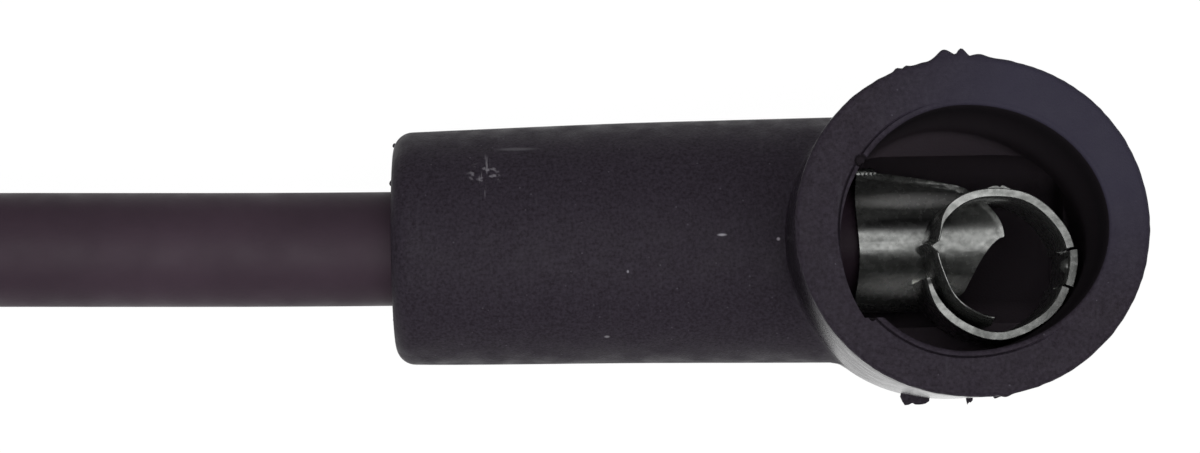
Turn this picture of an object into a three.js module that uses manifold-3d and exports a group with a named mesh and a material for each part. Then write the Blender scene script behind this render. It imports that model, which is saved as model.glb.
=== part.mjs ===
// An ignition lead: a 7 mm cable with an elbow boot and a rolled socket terminal at one end, and a
// straight boot with a snap terminal at the other. Millimetres, +Z up. The elbow boot lies on its
// back with its mouth up, the cable leaves it along -X, and the spare length is coiled beside it.

import * as THREE from 'three';
import { mergeVertices } from 'three/addons/utils/BufferGeometryUtils.js';
import Module from 'manifold-3d';

const wasm = await Module();
wasm.setup();

// Cable
const cableDiameter = 7;
const cableSides = 10;
const coreDiameter = 1.8;
const seatGap = 0.3;              // left between pieces that touch

// Stamped terminals
const sheet = 0.5;
const crimpGap = 0.35;            // cable to the inside of a crimp
const seamWidth = 0.5;

// Elbow boot: barrel
const boreHalfWidth = 7.4;
const boreHalfHeight = 7.04;
const boreShiftX = 0.4;           // the bore's axis is a little off the barrel's
const boreShiftY = -0.06;
const wallX = 2.6;
const wallY = 2.48;
const barrelLean = 0.51;          // the far half of the oval is round and the arm's half longer
const mouthRise = 22;             // mouth face above the arm's axis
const backRound = 7;
const rimRound = 0.5;
const rimChamfer = 0.15;
const keywayWidth = 9.3;          // relief in the bore's wall that lets the terminal slide in
const keywayDepth = 0.46;
const keywayBulge = 1.35;

// Elbow boot: arm
const armLength = 33.6;           // end face to the barrel's axis
const armEndRadius = 7.08;
const armRootRadius = 7.6;
const armEndRound = 1.2;
const armShiftY = 0.3;
const armFloorGap = 0.3;
const passageGap = 0.3;           // cable to the arm's passage
const chamberGap = 0.95;          // crimp to the arm's chamber
const chamberStart = 12;          // behind the barrel's axis
const chamberReach = 7.2;         // past the barrel's axis

// Elbow terminal
const socketRadius = 4.55;
const socketDrop = 10;            // socket's top below the mouth
const socketFootRise = 1.6;       // socket's foot above the crimp's axis
const socketBoreGap = 0.18;
const socketLean = -35.5;         // direction in which the socket leans on the bore, degrees
const socketLap = 0.85;           // how far the inner end of the roll lies inside the outer one
const rollStart = 192;            // the roll's outer end, degrees
const rollSeam = 510;             // where the roll steps inwards
const rollEnd = 624;
const fingerAngles = [9.2, -24.4];
const fingerSlot = 0.4;
const fingerDepth = 5;
const crimpStart = -5.46;         // from the barrel's axis
const jacketEnd = -2.5;
const noseTip = 3.3;              // the crimp ends in a nose under the socket
const noseShoulder = 1.9;
const noseSkew = 0.9;

// Route of the cable
const exitStraight = 24;
const runDip = 28;
const runSlope = 0.0147;          // the cable leaves the arm a touch off its axis
const coilRadius = 35;            // to the middle of the turns
const coilTurns = 2.5;
const coilCentreX = -84;
const tailLead = 38;              // from the coil's last point to the plug boot

// Coil tie
const tieThickness = 0.8;
const tieWidth = 4;
const tieAngle = 150;
const tieLift = 1.2;

// Plug boot, along its own axis from the cable's end to the mouth
const plugLength = 62;
const plugEndRadius = 6.4;
const plugRibHeight = 0.8;
const plugRibWidth = 1.8;
const plugRibPitch = 4;
const plugRibs = 3;
const plugNeckEnd = 15;
const plugBodyStart = 24;
const plugBodyRadius = 8.9;
const plugBeadWidth = 6;
const plugBeadHeight = 1.5;
const plugBoreRadius = 7.2;
const plugBoreDepth = 36;
const plugChamberStart = 13;

// Plug terminal, along the plug boot's axis
const plugCrimpStart = 15;
const plugCrimpLength = 7;
const plugNeckLength = 3;
const plugSocketLength = 12;
const plugSocketBore = 3.25;
const plugSlot = 0.7;
const plugSlotDepth = 8;
const springWire = 0.8;
const springPlace = 7;            // from the socket's root
const springOpening = 40;         // degrees

// Values that follow from those above
const degree = Math.PI / 180;
const cableRadius = cableDiameter / 2;
const crimpBore = cableRadius + crimpGap;
const crimpRadius = crimpBore + sheet;
const barrelHalfWidth = boreHalfWidth + wallX;
const barrelHalfHeight = boreHalfHeight + wallY;
const axisHeight = armRootRadius + armFloorGap;
const mouthHeight = axisHeight + mouthRise;
const barrelX = (armLength - barrelHalfWidth) / 2;
const exitX = barrelX - armLength;
const passageRadius = cableRadius + passageGap;
const chamberRadius = crimpRadius + chamberGap;
const socketTop = mouthHeight - socketDrop;
const socketFoot = axisHeight + socketFootRise;
const boreFloor = socketFoot - seatGap;
const overcut = 1;                // how far a cutting solid runs past the face it cuts
const coilStartY = armShiftY + runSlope * (exitX - coilCentreX) * 0.65;
const coilCentreY = coilStartY + coilRadius;
const coilLayers = Math.ceil(coilTurns);
const coilTop = coilLayers * cableDiameter;
const plugAxisHeight = plugBodyRadius + plugBeadHeight;
const plugX = coilCentreX + tailLead;
const plugY = coilCentreY + coilRadius;

const rubber = (name) => new THREE.MeshStandardMaterial({ name, color: 0x2b282d, roughness: 0.75 });
const metal = (name) => new THREE.MeshStandardMaterial({ name, color: 0x8a8c88, roughness: 0.35, metalness: 1 });
const jacket = new THREE.MeshStandardMaterial({ name: 'jacket', color: 0x3a3036, roughness: 0.55 });
const core = new THREE.MeshStandardMaterial({ name: 'core', color: 0x1c1c1c, roughness: 0.8 });
const nylon = new THREE.MeshStandardMaterial({ name: 'nylon', color: 0x202124, roughness: 0.5 });

// A closed geometry as a solid that can be joined and cut.
function solidOf(geometry) {
  const bare = geometry.clone();
  bare.deleteAttribute('normal');
  bare.deleteAttribute('uv');
  const merged = mergeVertices(bare, 1e-4);
  const mesh = new wasm.Mesh({
    numProp: 3,
    vertProperties: new Float32Array(merged.attributes.position.array),
    triVerts: new Uint32Array(merged.index.array),
  });
  return new wasm.Manifold(mesh);
}

// A solid as a geometry again.
function geometryOf(solid) {
  const mesh = solid.getMesh();
  const geometry = new THREE.BufferGeometry();
  geometry.setAttribute('position', new THREE.BufferAttribute(mesh.vertProperties, 3));
  geometry.setIndex(new THREE.BufferAttribute(mesh.triVerts, 1));
  geometry.computeVertexNormals();
  return geometry;
}

// A turned solid about Z, from a closed profile of [radius, height] points.
function turned(profile, segments = 48) {
  const points = profile.map(([radius, height]) => new THREE.Vector2(radius, height));
  points.push(points[0].clone());
  return new THREE.LatheGeometry(points, segments).rotateX(Math.PI / 2);
}

// The same about X, with +X as the profile's height.
function turnedAlongX(profile, segments = 48) {
  return turned(profile, segments).rotateY(Math.PI / 2);
}

// Points on a round corner of a profile, both ends included.
function corner(centreR, centreH, radius, fromAngle, toAngle, steps = 4) {
  return Array.from({ length: steps + 1 }, (_, i) => {
    const angle = (fromAngle + ((toAngle - fromAngle) * i) / steps) * degree;
    return [centreR + radius * Math.cos(angle), centreH + radius * Math.sin(angle)];
  });
}

// A flat outline raised along Z, from one height to another.
function raised(outline, from, to) {
  const shape = new THREE.Shape(outline.map(([x, y]) => new THREE.Vector2(x, y)));
  return new THREE.ExtrudeGeometry(shape, { depth: to - from, bevelEnabled: false }).translate(0, 0, from);
}

// A round bar swept along a curve.
function swept(curve, diameter, sides, steps) {
  const section = new THREE.Shape(
    Array.from({ length: sides }, (_, i) => {
      const angle = (2 * Math.PI * i) / sides;
      return new THREE.Vector2(Math.cos(angle), Math.sin(angle)).multiplyScalar(diameter / 2);
    }),
  );
  return new THREE.ExtrudeGeometry(section, { steps, bevelEnabled: false, extrudePath: curve });
}

function named(name, geometry, material) {
  const mesh = new THREE.Mesh(geometry, material);
  mesh.name = name;
  return mesh;
}

// The barrel's bore with its keyway, the arm's passage and the chamber where they meet.
function elbowHollow() {
  const bore = turned([
    [0, boreFloor],
    [boreHalfHeight, boreFloor],
    [boreHalfHeight, mouthHeight - rimChamfer],
    [boreHalfHeight + rimChamfer, mouthHeight],
    [boreHalfHeight + rimChamfer, mouthHeight + overcut],
    [0, mouthHeight + overcut],
  ])
    .scale(boreHalfWidth / boreHalfHeight, 1, 1)
    .translate(boreShiftX, boreShiftY, 0);

  const keywayRadius = ((keywayWidth / 2) ** 2 + keywayBulge ** 2) / (2 * keywayBulge);
  const keywayLeft = boreShiftX - boreHalfWidth - keywayDepth;
  const keywayHalfAngle = Math.asin(keywayWidth / 2 / keywayRadius) / degree;
  const keywayArc = corner(
    keywayLeft + keywayRadius, armShiftY, keywayRadius, 180 - keywayHalfAngle, 180 + keywayHalfAngle, 10,
  );
  const keyway = raised(
    [...keywayArc, [0, armShiftY - keywayWidth / 2], [0, armShiftY + keywayWidth / 2]],
    axisHeight,
    mouthHeight + overcut,
  );

  const armHollow = turnedAlongX([
    [0, -armLength - overcut],
    [passageRadius, -armLength - overcut],
    [passageRadius, -chamberStart - (chamberRadius - passageRadius)],
    [chamberRadius, -chamberStart],
    ...corner(chamberRadius - rimRound * 2, chamberReach - rimRound * 2, rimRound * 2, 0, 90, 3),
    [0, chamberReach],
  ], 40).translate(0, armShiftY, axisHeight);

  return solidOf(bore).add(solidOf(keyway)).add(solidOf(armHollow));
}

// Leans the barrel's oval towards the mouth's far side, without a change of its width and length.
function leaned(geometry) {
  const points = geometry.attributes.position;
  for (let i = 0; i < points.count; i += 1) {
    const across = points.getX(i) / barrelHalfWidth;
    const size = Math.hypot(across, points.getY(i) / barrelHalfHeight);
    points.setX(i, points.getX(i) + barrelLean * (size - Math.abs(across)));
  }
  return geometry;
}

function elbowBoot() {
  const barrel = turned([
    [0, 0],
    ...corner(barrelHalfHeight - backRound, backRound, backRound, -90, 0, 6),
    ...corner(barrelHalfHeight - rimRound, mouthHeight - rimRound, rimRound, 0, 90, 3),
    [0, mouthHeight],
  ], 64).scale(barrelHalfWidth / barrelHalfHeight, 1, 1);
  leaned(barrel);

  const arm = turnedAlongX([
    [0, -armLength],
    ...corner(armEndRadius - armEndRound, -armLength + armEndRound, armEndRound, -90, 0, 4),
    [armRootRadius, 0],
    [0, 0],
  ]).translate(0, armShiftY, axisHeight);

  return geometryOf(solidOf(barrel).add(solidOf(arm)).subtract(elbowHollow()));
}

// Where the rolled socket's axis stands: against the bore's wall, in the direction of its lean.
function socketCentre() {
  const direction = new THREE.Vector2(Math.cos(socketLean * degree), Math.sin(socketLean * degree));
  const reach =
    (boreHalfWidth * boreHalfHeight) /
    Math.hypot(boreHalfHeight * direction.x, boreHalfWidth * direction.y);
  return direction
    .multiplyScalar(reach - socketRadius - socketBoreGap)
    .add(new THREE.Vector2(boreShiftX, boreShiftY));
}

// The socket's outline seen from its mouth: one strip of sheet, rolled round with its ends lapped.
function rollOutline(centre) {
  const steps = 72;
  const side = (offset) =>
    Array.from({ length: steps + 1 }, (_, i) => {
      const angle = rollStart + ((rollEnd - rollStart) * i) / steps;
      const lap = THREE.MathUtils.smoothstep(angle, rollSeam, rollSeam + 30) * socketLap;
      const radius = socketRadius - sheet / 2 - lap + offset;
      return [
        centre.x + radius * Math.cos(angle * degree),
        centre.y + radius * Math.sin(angle * degree),
      ];
    });
  return [...side(sheet / 2), ...side(-sheet / 2).reverse()];
}

// A tube rolled from sheet round X, with its seam on the underside.
function rolledTube(radius, from, to) {
  const halfSeam = Math.asin(seamWidth / 2 / radius) / degree;
  const outline = [
    ...corner(0, 0, radius, -90 + halfSeam, 270 - halfSeam, 40),
    ...corner(0, 0, radius - sheet, 270 - halfSeam, -90 + halfSeam, 40),
  ];
  return raised(outline, from, to).rotateX(Math.PI / 2).rotateZ(Math.PI / 2);
}

function elbowTerminal() {
  const centre = socketCentre();
  const crimp = rolledTube(crimpRadius, crimpStart, noseTip).translate(0, armShiftY, axisHeight);

  // What is cut from the crimp's end, seen from the mouth, to leave the pointed nose.
  const far = crimpRadius + overcut;
  const noseCut = raised(
    [
      [noseTip + overcut, armShiftY - far],
      [noseTip + overcut, armShiftY + far],
      [crimpStart + noseSkew, armShiftY + far],
      [crimpStart + noseSkew, armShiftY + crimpRadius],
      [noseTip - noseShoulder - noseSkew, armShiftY + crimpRadius * 0.72],
      [noseTip - noseShoulder, armShiftY + crimpRadius * 0.52],
      [noseTip, armShiftY],
      [noseTip - noseShoulder - noseSkew, armShiftY - crimpRadius * 0.74],
      [jacketEnd, armShiftY - crimpRadius],
      [jacketEnd, armShiftY - far],
    ].reverse(),
    0,
    mouthHeight,
  );

  const insideCrimp = turnedAlongX([
    [0, crimpStart],
    [crimpRadius - sheet / 2, crimpStart],
    [crimpRadius - sheet / 2, noseTip - noseShoulder],
    [0, noseTip - noseShoulder],
  ], 40).translate(0, armShiftY, axisHeight);

  let socket = solidOf(raised(rollOutline(centre), socketFoot, socketTop)).subtract(solidOf(insideCrimp));
  for (const angle of fingerAngles) {
    const slot = new THREE.BoxGeometry(sheet * 4, fingerSlot, fingerDepth * 2)
      .translate(socketRadius - sheet / 2, 0, socketTop)
      .rotateZ(angle * degree)
      .translate(centre.x, centre.y, 0);
    socket = socket.subtract(solidOf(slot));
  }
  return geometryOf(solidOf(crimp).subtract(solidOf(noseCut)).add(socket));
}

// The bared core: out of the jacket's end, then bent over towards the crimp's wall.
function bentCore(crimpInside) {
  const drop = crimpInside - coreDiameter / 2 - seatGap;
  const curve = new THREE.CatmullRomCurve3([
    new THREE.Vector3(0, 0, 0),
    new THREE.Vector3(coreDiameter * 0.5, 0, 0),
    new THREE.Vector3(coreDiameter, 0, -drop * 0.3),
    new THREE.Vector3(coreDiameter, 0, -drop),
  ]);
  return swept(curve, coreDiameter, 8, 8);
}

// Points on the coil's middle line: the angle grows from the point where the cable comes in.
function coilCentre() {
  return new THREE.Vector3(coilCentreX, coilCentreY, 0);
}

// The length of a tangent that lies inside the ring of the coil's turns.
const coilLeave = Math.sqrt((coilRadius + cableRadius + seatGap) ** 2 - (coilRadius - cableRadius) ** 2);

// The cable from inside the crimp, out of the arm, down to the surface and up to the coil.
function runCurve() {
  const startX = barrelX + jacketEnd;
  const insideStep = (startX - exitX) / 4;
  const endX = coilCentreX + coilLeave;
  const route = [
    [startX, armShiftY, axisHeight],
    [startX - insideStep, armShiftY, axisHeight],
    [startX - insideStep * 2, armShiftY, axisHeight],
    [startX - insideStep * 3, armShiftY, axisHeight],
    [exitX, armShiftY, axisHeight],
    [exitX - exitStraight / 3, armShiftY + 0.06, axisHeight],
    [exitX - (exitStraight * 2) / 3, armShiftY + 0.17, axisHeight],
    [exitX - exitStraight, armShiftY + 0.29, axisHeight],
    [exitX - exitStraight - runDip * 0.2, armShiftY + 0.36, axisHeight - 0.3],
    [exitX - exitStraight - runDip * 0.4, armShiftY + 0.41, axisHeight - 1.3],
    [endX, coilStartY, axisHeight - 2.6],
  ];
  return new THREE.CatmullRomCurve3(route.map((point) => new THREE.Vector3(...point)), false, 'centripetal');
}

// The cable from the coil's top turn, down and into the plug boot's crimp.
function tailCurve() {
  const startX = coilCentreX + coilLeave;
  const top = coilTop - cableRadius;
  const route = [
    [startX, plugY, plugAxisHeight + (top - plugAxisHeight) * 0.55],
    [startX + 4, plugY, plugAxisHeight + (top - plugAxisHeight) * 0.3],
    [startX + 9, plugY, plugAxisHeight + (top - plugAxisHeight) * 0.07],
    [plugX - 1, plugY, plugAxisHeight],
    [plugX + plugCrimpStart * 0.5, plugY, plugAxisHeight],
    [plugX + plugCrimpStart + plugCrimpLength - coreDiameter * 2, plugY, plugAxisHeight],
  ];
  return new THREE.CatmullRomCurve3(route.map((point) => new THREE.Vector3(...point)), false, 'centripetal');
}

function coilRing() {
  const inner = coilRadius - cableRadius;
  const outer = coilRadius + cableRadius;
  const ring = turned([
    ...corner(inner + cableRadius, cableRadius, cableRadius, 180, 270, 3),
    ...corner(outer - cableRadius, cableRadius, cableRadius, 270, 360, 3).slice(1),
    ...corner(outer - cableRadius, coilTop - cableRadius, cableRadius, 0, 90, 3),
    ...corner(inner + cableRadius, coilTop - cableRadius, cableRadius, 90, 180, 3).slice(1),
  ], 56);
  const tieSeat = new THREE.BoxGeometry(cableDiameter * 2, tieWidth + seatGap * 2, (tieThickness + seatGap) * 2)
    .translate(coilRadius, 0, 0)
    .rotateZ(tieAngle * degree);
  return solidOf(ring).subtract(solidOf(tieSeat));
}

// The band stands on the surface, so the turns rest on its lower run.
function tieBand() {
  const inner = coilRadius - cableRadius - seatGap;
  const outer = coilRadius + cableRadius + seatGap;
  const top = coilTop + tieLift;
  const rectangle = (grow) => {
    const round = cableRadius * 0.6 + grow;
    return [
      ...corner(inner - grow + round, -grow + round, round, 180, 270, 4),
      ...corner(outer + grow - round, -grow + round, round, 270, 360, 4),
      ...corner(outer + grow - round, top + grow - round, round, 0, 90, 4),
      ...corner(inner - grow + round, top + grow - round, round, 90, 180, 4),
    ];
  };
  const shape = new THREE.Shape(rectangle(tieThickness).map(([x, y]) => new THREE.Vector2(x, y)));
  shape.holes.push(new THREE.Path(rectangle(0).map(([x, y]) => new THREE.Vector2(x, y))));
  return new THREE.ExtrudeGeometry(shape, { depth: tieWidth, bevelEnabled: false })
    .translate(0, tieThickness, -tieWidth / 2)
    .rotateX(Math.PI / 2)
    .rotateZ(tieAngle * degree);
}

function plugBoot() {
  const ribs = Array.from({ length: plugRibs }, (_, i) => {
    const start = plugRibPitch * (i + 0.5);
    return [
      [plugEndRadius, start],
      [plugEndRadius + plugRibHeight, start + plugRibWidth * 0.3],
      [plugEndRadius + plugRibHeight, start + plugRibWidth * 0.7],
      [plugEndRadius, start + plugRibWidth],
    ];
  }).flat();
  const beadStart = plugLength - plugBeadWidth;
  const beadRadius = plugBodyRadius + plugBeadHeight;
  const boreEnd = plugLength - plugBoreDepth;
  const outside = [
    ...ribs,
    [plugEndRadius, plugNeckEnd],
    [plugBodyRadius, plugBodyStart],
    [plugBodyRadius, beadStart - plugBeadHeight],
    [beadRadius, beadStart],
    [beadRadius, plugLength - rimRound],
    [beadRadius - rimRound, plugLength],
  ];
  const inside = [
    [plugBoreRadius + rimRound, plugLength],
    [plugBoreRadius, plugLength - rimRound * 2],
    [plugBoreRadius, boreEnd],
    [chamberRadius, boreEnd],
    [chamberRadius, plugChamberStart],
    [passageRadius, plugChamberStart - (chamberRadius - passageRadius)],
    [passageRadius, 0],
  ];
  return turnedAlongX([[plugEndRadius, 0], ...outside, ...inside], 44);
}

function plugTerminal() {
  const crimpEnd = plugCrimpStart + plugCrimpLength;
  const socketStart = crimpEnd + plugNeckLength;
  const socketEnd = socketStart + plugSocketLength;
  const socketOuter = plugSocketBore + sheet;
  const shell = turnedAlongX([
    [crimpRadius, plugCrimpStart],
    [crimpRadius, crimpEnd],
    [socketOuter, socketStart],
    [socketOuter, socketEnd - sheet],
    [socketOuter + sheet * 0.6, socketEnd],
    [plugSocketBore + sheet * 0.6, socketEnd],
    [plugSocketBore, socketEnd - sheet],
    [plugSocketBore, socketStart],
    [crimpBore, crimpEnd],
    [crimpBore, plugCrimpStart],
  ], 40);
  const seam = new THREE.BoxGeometry(socketEnd * 2, seamWidth, crimpRadius * 2)
    .translate(socketEnd * 0.5, 0, -crimpRadius);
  const slot = new THREE.BoxGeometry(plugSlotDepth * 2, crimpRadius * 4, plugSlot)
    .translate(socketEnd, 0, 0);
  const window = new THREE.BoxGeometry(plugNeckLength, crimpRadius * 4, plugSocketBore)
    .translate(crimpEnd + plugNeckLength / 2, 0, 0);
  return geometryOf(
    solidOf(shell).subtract(solidOf(seam)).subtract(solidOf(slot)).subtract(solidOf(window)),
  );
}

// A sprung wire ring that sits round the socket, open on its underside.
function plugSpring() {
  const radius = plugSocketBore + sheet + seatGap + springWire / 2;
  const place = plugCrimpStart + plugCrimpLength + plugNeckLength + springPlace;
  const steps = 24;
  const points = Array.from({ length: steps + 1 }, (_, i) => {
    const angle = (-90 + springOpening / 2 + ((360 - springOpening) * i) / steps) * degree;
    return new THREE.Vector3(place, radius * Math.cos(angle), radius * Math.sin(angle));
  });
  return swept(new THREE.CatmullRomCurve3(points), springWire, 8, 40);
}

function distributorEnd() {
  const group = new THREE.Group();
  group.position.x = barrelX;
  const coreEnd = named('distributor_core_end', bentCore(crimpBore), core);
  coreEnd.position.set(jacketEnd + seatGap, armShiftY, axisHeight);
  group.add(named('distributor_boot', elbowBoot(), rubber('boot rubber')));
  group.add(named('distributor_terminal', elbowTerminal(), metal('terminal sheet')));
  group.add(coreEnd);
  return group;
}

function cable() {
  const group = new THREE.Group();
  const run = runCurve();
  const tail = tailCurve();
  const stepsOf = (curve) => Math.round(curve.getLength() / (cableDiameter * 1.5));
  const coil = named('cable_coil', geometryOf(coilRing()), jacket);
  const tie = named('coil_tie', tieBand(), nylon);
  coil.position.copy(coilCentre());
  tie.position.copy(coilCentre());
  group.add(named('cable_run', swept(run, cableDiameter, cableSides, stepsOf(run)), jacket));
  group.add(named('cable_tail', swept(tail, cableDiameter, cableSides, stepsOf(tail)), jacket));
  group.add(coil);
  group.add(tie);
  return group;
}

function plugEnd() {
  const group = new THREE.Group();
  group.position.set(plugX, plugY, plugAxisHeight);
  const coreEnd = named('plug_core_end', bentCore(crimpBore), core);
  coreEnd.position.x = plugCrimpStart + plugCrimpLength - coreDiameter * 2 + seatGap;
  group.add(named('plug_boot', geometryOf(solidOf(plugBoot())), rubber('plug rubber')));
  group.add(named('plug_terminal', plugTerminal(), metal('plug sheet')));
  group.add(named('plug_terminal_spring', plugSpring(), metal('spring wire')));
  group.add(coreEnd);
  return group;
}

const lead = new THREE.Group();
lead.add(distributorEnd());
lead.add(cable());
lead.add(plugEnd());

export default lead;
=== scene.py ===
"""The looks of an ignition lead: a moulded elbow boot with its rolled socket terminal, a 7 mm
cable with its spare length coiled and tied, and a straight boot at the spark plug end.

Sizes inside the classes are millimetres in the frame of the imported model. Meshes are written in metres.
"""

import logging
import math
from dataclasses import dataclass
from enum import Enum
from typing import Callable, Iterable, Sequence

import bmesh
import bpy
import numpy as np
from mathutils import Matrix, Vector, noise

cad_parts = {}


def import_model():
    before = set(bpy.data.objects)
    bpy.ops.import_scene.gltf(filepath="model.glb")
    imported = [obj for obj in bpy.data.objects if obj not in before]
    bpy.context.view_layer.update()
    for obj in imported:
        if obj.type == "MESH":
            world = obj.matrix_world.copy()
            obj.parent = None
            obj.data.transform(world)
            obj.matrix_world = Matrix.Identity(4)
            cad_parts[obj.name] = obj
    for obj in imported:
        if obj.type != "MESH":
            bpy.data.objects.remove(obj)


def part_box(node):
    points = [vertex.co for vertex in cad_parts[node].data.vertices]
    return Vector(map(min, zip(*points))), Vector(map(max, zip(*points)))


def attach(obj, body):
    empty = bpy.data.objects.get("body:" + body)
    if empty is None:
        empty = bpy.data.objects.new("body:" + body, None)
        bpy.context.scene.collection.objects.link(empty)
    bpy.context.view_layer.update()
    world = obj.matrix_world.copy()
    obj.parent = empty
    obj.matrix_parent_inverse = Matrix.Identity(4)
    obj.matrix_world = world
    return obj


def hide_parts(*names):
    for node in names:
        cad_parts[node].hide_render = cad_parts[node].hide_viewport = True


LOG = logging.getLogger("lead")
MM = 0.001
SHARP_ANGLE = math.radians(32)
SMALLEST = 1e-7
# how far a piece that is taken away runs past the face it opens, in millimetres
PAST = 1.0

Pair = tuple[float, float]
Triple = tuple[float, float, float]
Profile = Sequence[Pair]
Piece = bpy.types.Object
Material = bpy.types.Material
Tree = bpy.types.NodeTree
Socket = bpy.types.NodeSocket
Sockets = dict[str, Socket]


class Axis(Enum):
    """The line that a turned piece is made round."""

    X = "x"
    Z = "z"


class Cut(Enum):
    """What a boolean does with its second piece."""

    JOIN = "UNION"
    TAKE = "DIFFERENCE"


class Slot(Enum):
    """The record's material slots."""

    BOOT = "boot_rubber"
    JACKET = "cable_jacket"
    CORE = "cable_core"
    SHEET = "terminal_sheet"
    WIRE = "spring_wire"
    STRAP = "tie_strap"


class Kind(Enum):
    """What a node group's socket carries."""

    NUMBER = "NodeSocketFloat"
    PLACE = "NodeSocketVector"
    COLOUR = "NodeSocketColor"


def smoothstep(value: float, low: float, high: float) -> float:
    """A smooth rise from 0 at low to 1 at high."""
    share = min(max((value - low) / (high - low), 0.0), 1.0)
    return share * share * (3 - 2 * share)


def bell(value: float, middle: float, width: float) -> float:
    """A bell curve, 1 at its middle."""
    return math.exp(-(((value - middle) / width) ** 2))


def arc(centre: Pair, radius: float, start: float, end: float, steps: int) -> list[Pair]:
    """Points on a round corner of a profile.

    Args:
        centre: the corner's centre, as radius and height.
        radius: the corner's radius.
        start: first angle in degrees.
        end: last angle in degrees.
        steps: how many chords.

    Returns:
        The points, both ends included.
    """
    angles = (math.radians(start + (end - start) * i / steps) for i in range(steps + 1))
    return [(centre[0] + radius * math.cos(a), centre[1] + radius * math.sin(a)) for a in angles]


def stretched(profile: Profile, pitch: float) -> list[Pair]:
    """The same profile with points added so that no step is longer than pitch.

    Args:
        profile: the corner points, in order.
        pitch: the longest step.

    Returns:
        The longer list of points.
    """
    points = [profile[0]]
    for (r0, h0), (r1, h1) in zip(profile, profile[1:]):
        steps = max(1, math.ceil(math.hypot(r1 - r0, h1 - h0) / pitch))
        points += [(r0 + (r1 - r0) * i / steps, h0 + (h1 - h0) * i / steps) for i in range(1, steps + 1)]
    return points


def wobble(place: Vector) -> Vector:
    """A noise vector at a place, the same in every run."""
    shifts = ((9.3, -1.5, -8.0), (0.0, 0.0, 0.0), (-6.1, -3.3, 5.7))
    return Vector([noise.noise(place + Vector(shift)) for shift in shifts])


def mesh_object(name: str, vertices: Iterable[Sequence[float]], faces: Iterable[Sequence[int]]) -> Piece:
    """A mesh object from vertices in millimetres.

    Args:
        name: the object's name.
        vertices: the points.
        faces: the faces, as vertex numbers.

    Returns:
        The object, linked to the scene, with its faces turned outward.
    """
    mesh = bpy.data.meshes.new(name)
    mesh.from_pydata([[c * MM for c in v] for v in vertices], [], [list(f) for f in faces])
    made = bpy.data.objects.new(name, mesh)
    bpy.context.scene.collection.objects.link(made)
    shape = bmesh.new()
    shape.from_mesh(mesh)
    bmesh.ops.remove_doubles(shape, verts=shape.verts, dist=SMALLEST)
    bmesh.ops.recalc_face_normals(shape, faces=shape.faces)
    shape.to_mesh(mesh)
    shape.free()
    return made


def grid_faces(rows: int, columns: int, closed: bool = False) -> list[tuple[int, ...]]:
    """The faces between rows of vertices, each row closed on itself.

    Args:
        rows: how many rows.
        columns: how many vertices a row has.
        closed: whether the last row joins the first.

    Returns:
        The faces, as vertex numbers.
    """
    faces = []
    for a in range(rows if closed else rows - 1):
        here, ahead = a * columns, (a + 1) % rows * columns
        for b in range(columns):
            c = (b + 1) % columns
            faces.append((here + b, here + c, ahead + c, ahead + b))
    return faces


def turned(
    name: str,
    profile: Profile,
    segments: int,
    axis: Axis = Axis.Z,
    oval: float = 1.0,
    centre: Sequence[float] = (0, 0, 0),
) -> Piece:
    """A closed solid turned from a profile.

    Args:
        name: the object's name.
        profile: points of radius and height that close on the axis or on themselves.
        segments: how many sides.
        axis: the line to turn round.
        oval: width over height of the section.
        centre: where the profile's zero stands.

    Returns:
        The object.
    """
    vertices: list[Triple] = []
    rings: list[list[int]] = []
    for radius, height in profile:
        count = 1 if radius < 1e-9 else segments
        ring = []
        for i in range(count):
            angle = 2 * math.pi * i / segments
            across = radius * math.cos(angle) * oval
            up = radius * math.sin(angle)
            point = (height, across, up) if axis is Axis.X else (across, up, height)
            ring.append(len(vertices))
            vertices.append(tuple(p + c for p, c in zip(point, centre)))
        rings.append(ring)
    open_ended = len(rings[0]) == 1 and len(rings[-1]) == 1
    pairs = list(zip(rings, rings[1:])) if open_ended else list(zip(rings, rings[1:] + rings[:1]))
    faces: list[tuple[int, ...]] = []
    for low, high in pairs:
        for i in range(segments):
            j = (i + 1) % segments
            corners = (low[i % len(low)], low[j % len(low)], high[j % len(high)], high[i % len(high)])
            face = tuple(dict.fromkeys(corners))
            if len(face) > 2:
                faces.append(face)
    return mesh_object(name, vertices, faces)


def prism(name: str, outline: Profile, low: float, high: float) -> Piece:
    """A flat outline raised along Z.

    Args:
        name: the object's name.
        outline: the corners in the XY plane.
        low: the lower height.
        high: the upper height.

    Returns:
        The object.
    """
    count = len(outline)
    vertices = [(x, y, z) for z in (low, high) for x, y in outline]
    ends = [tuple(range(count)), tuple(range(count, 2 * count))]
    return mesh_object(name, vertices, [*ends, *grid_faces(2, count)])


def swept(
    name: str,
    path: np.ndarray,
    section: Callable[[int], np.ndarray],
    up: Sequence[float] = (0, 0, 1),
) -> Piece:
    """A closed solid swept along a path, with its ends capped.

    Args:
        name: the object's name.
        path: the centreline's points.
        section: gives the section's points across and up for the path's i-th point.
        up: a direction that the section's up stays near.

    Returns:
        The object.
    """
    tangents = np.gradient(path, axis=0)
    tangents /= np.linalg.norm(tangents, axis=1)[:, None]
    vertices: list[np.ndarray] = []
    for i, (point, tangent) in enumerate(zip(path, tangents)):
        side = np.cross(tangent, up)
        side /= np.linalg.norm(side)
        over = np.cross(side, tangent)
        vertices += [point + side * u + over * v for u, v in section(i)]
    sides = len(section(0))
    last = (len(path) - 1) * sides
    ends = [tuple(range(sides)), tuple(range(last, last + sides))]
    return mesh_object(name, [tuple(v) for v in vertices], [*grid_faces(len(path), sides), *ends])


def round_section(radius: float, sides: int) -> np.ndarray:
    """The corners of a round section."""
    angles = np.arange(sides) * 2 * math.pi / sides
    return np.stack([np.cos(angles), np.sin(angles)], axis=1) * radius


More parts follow.
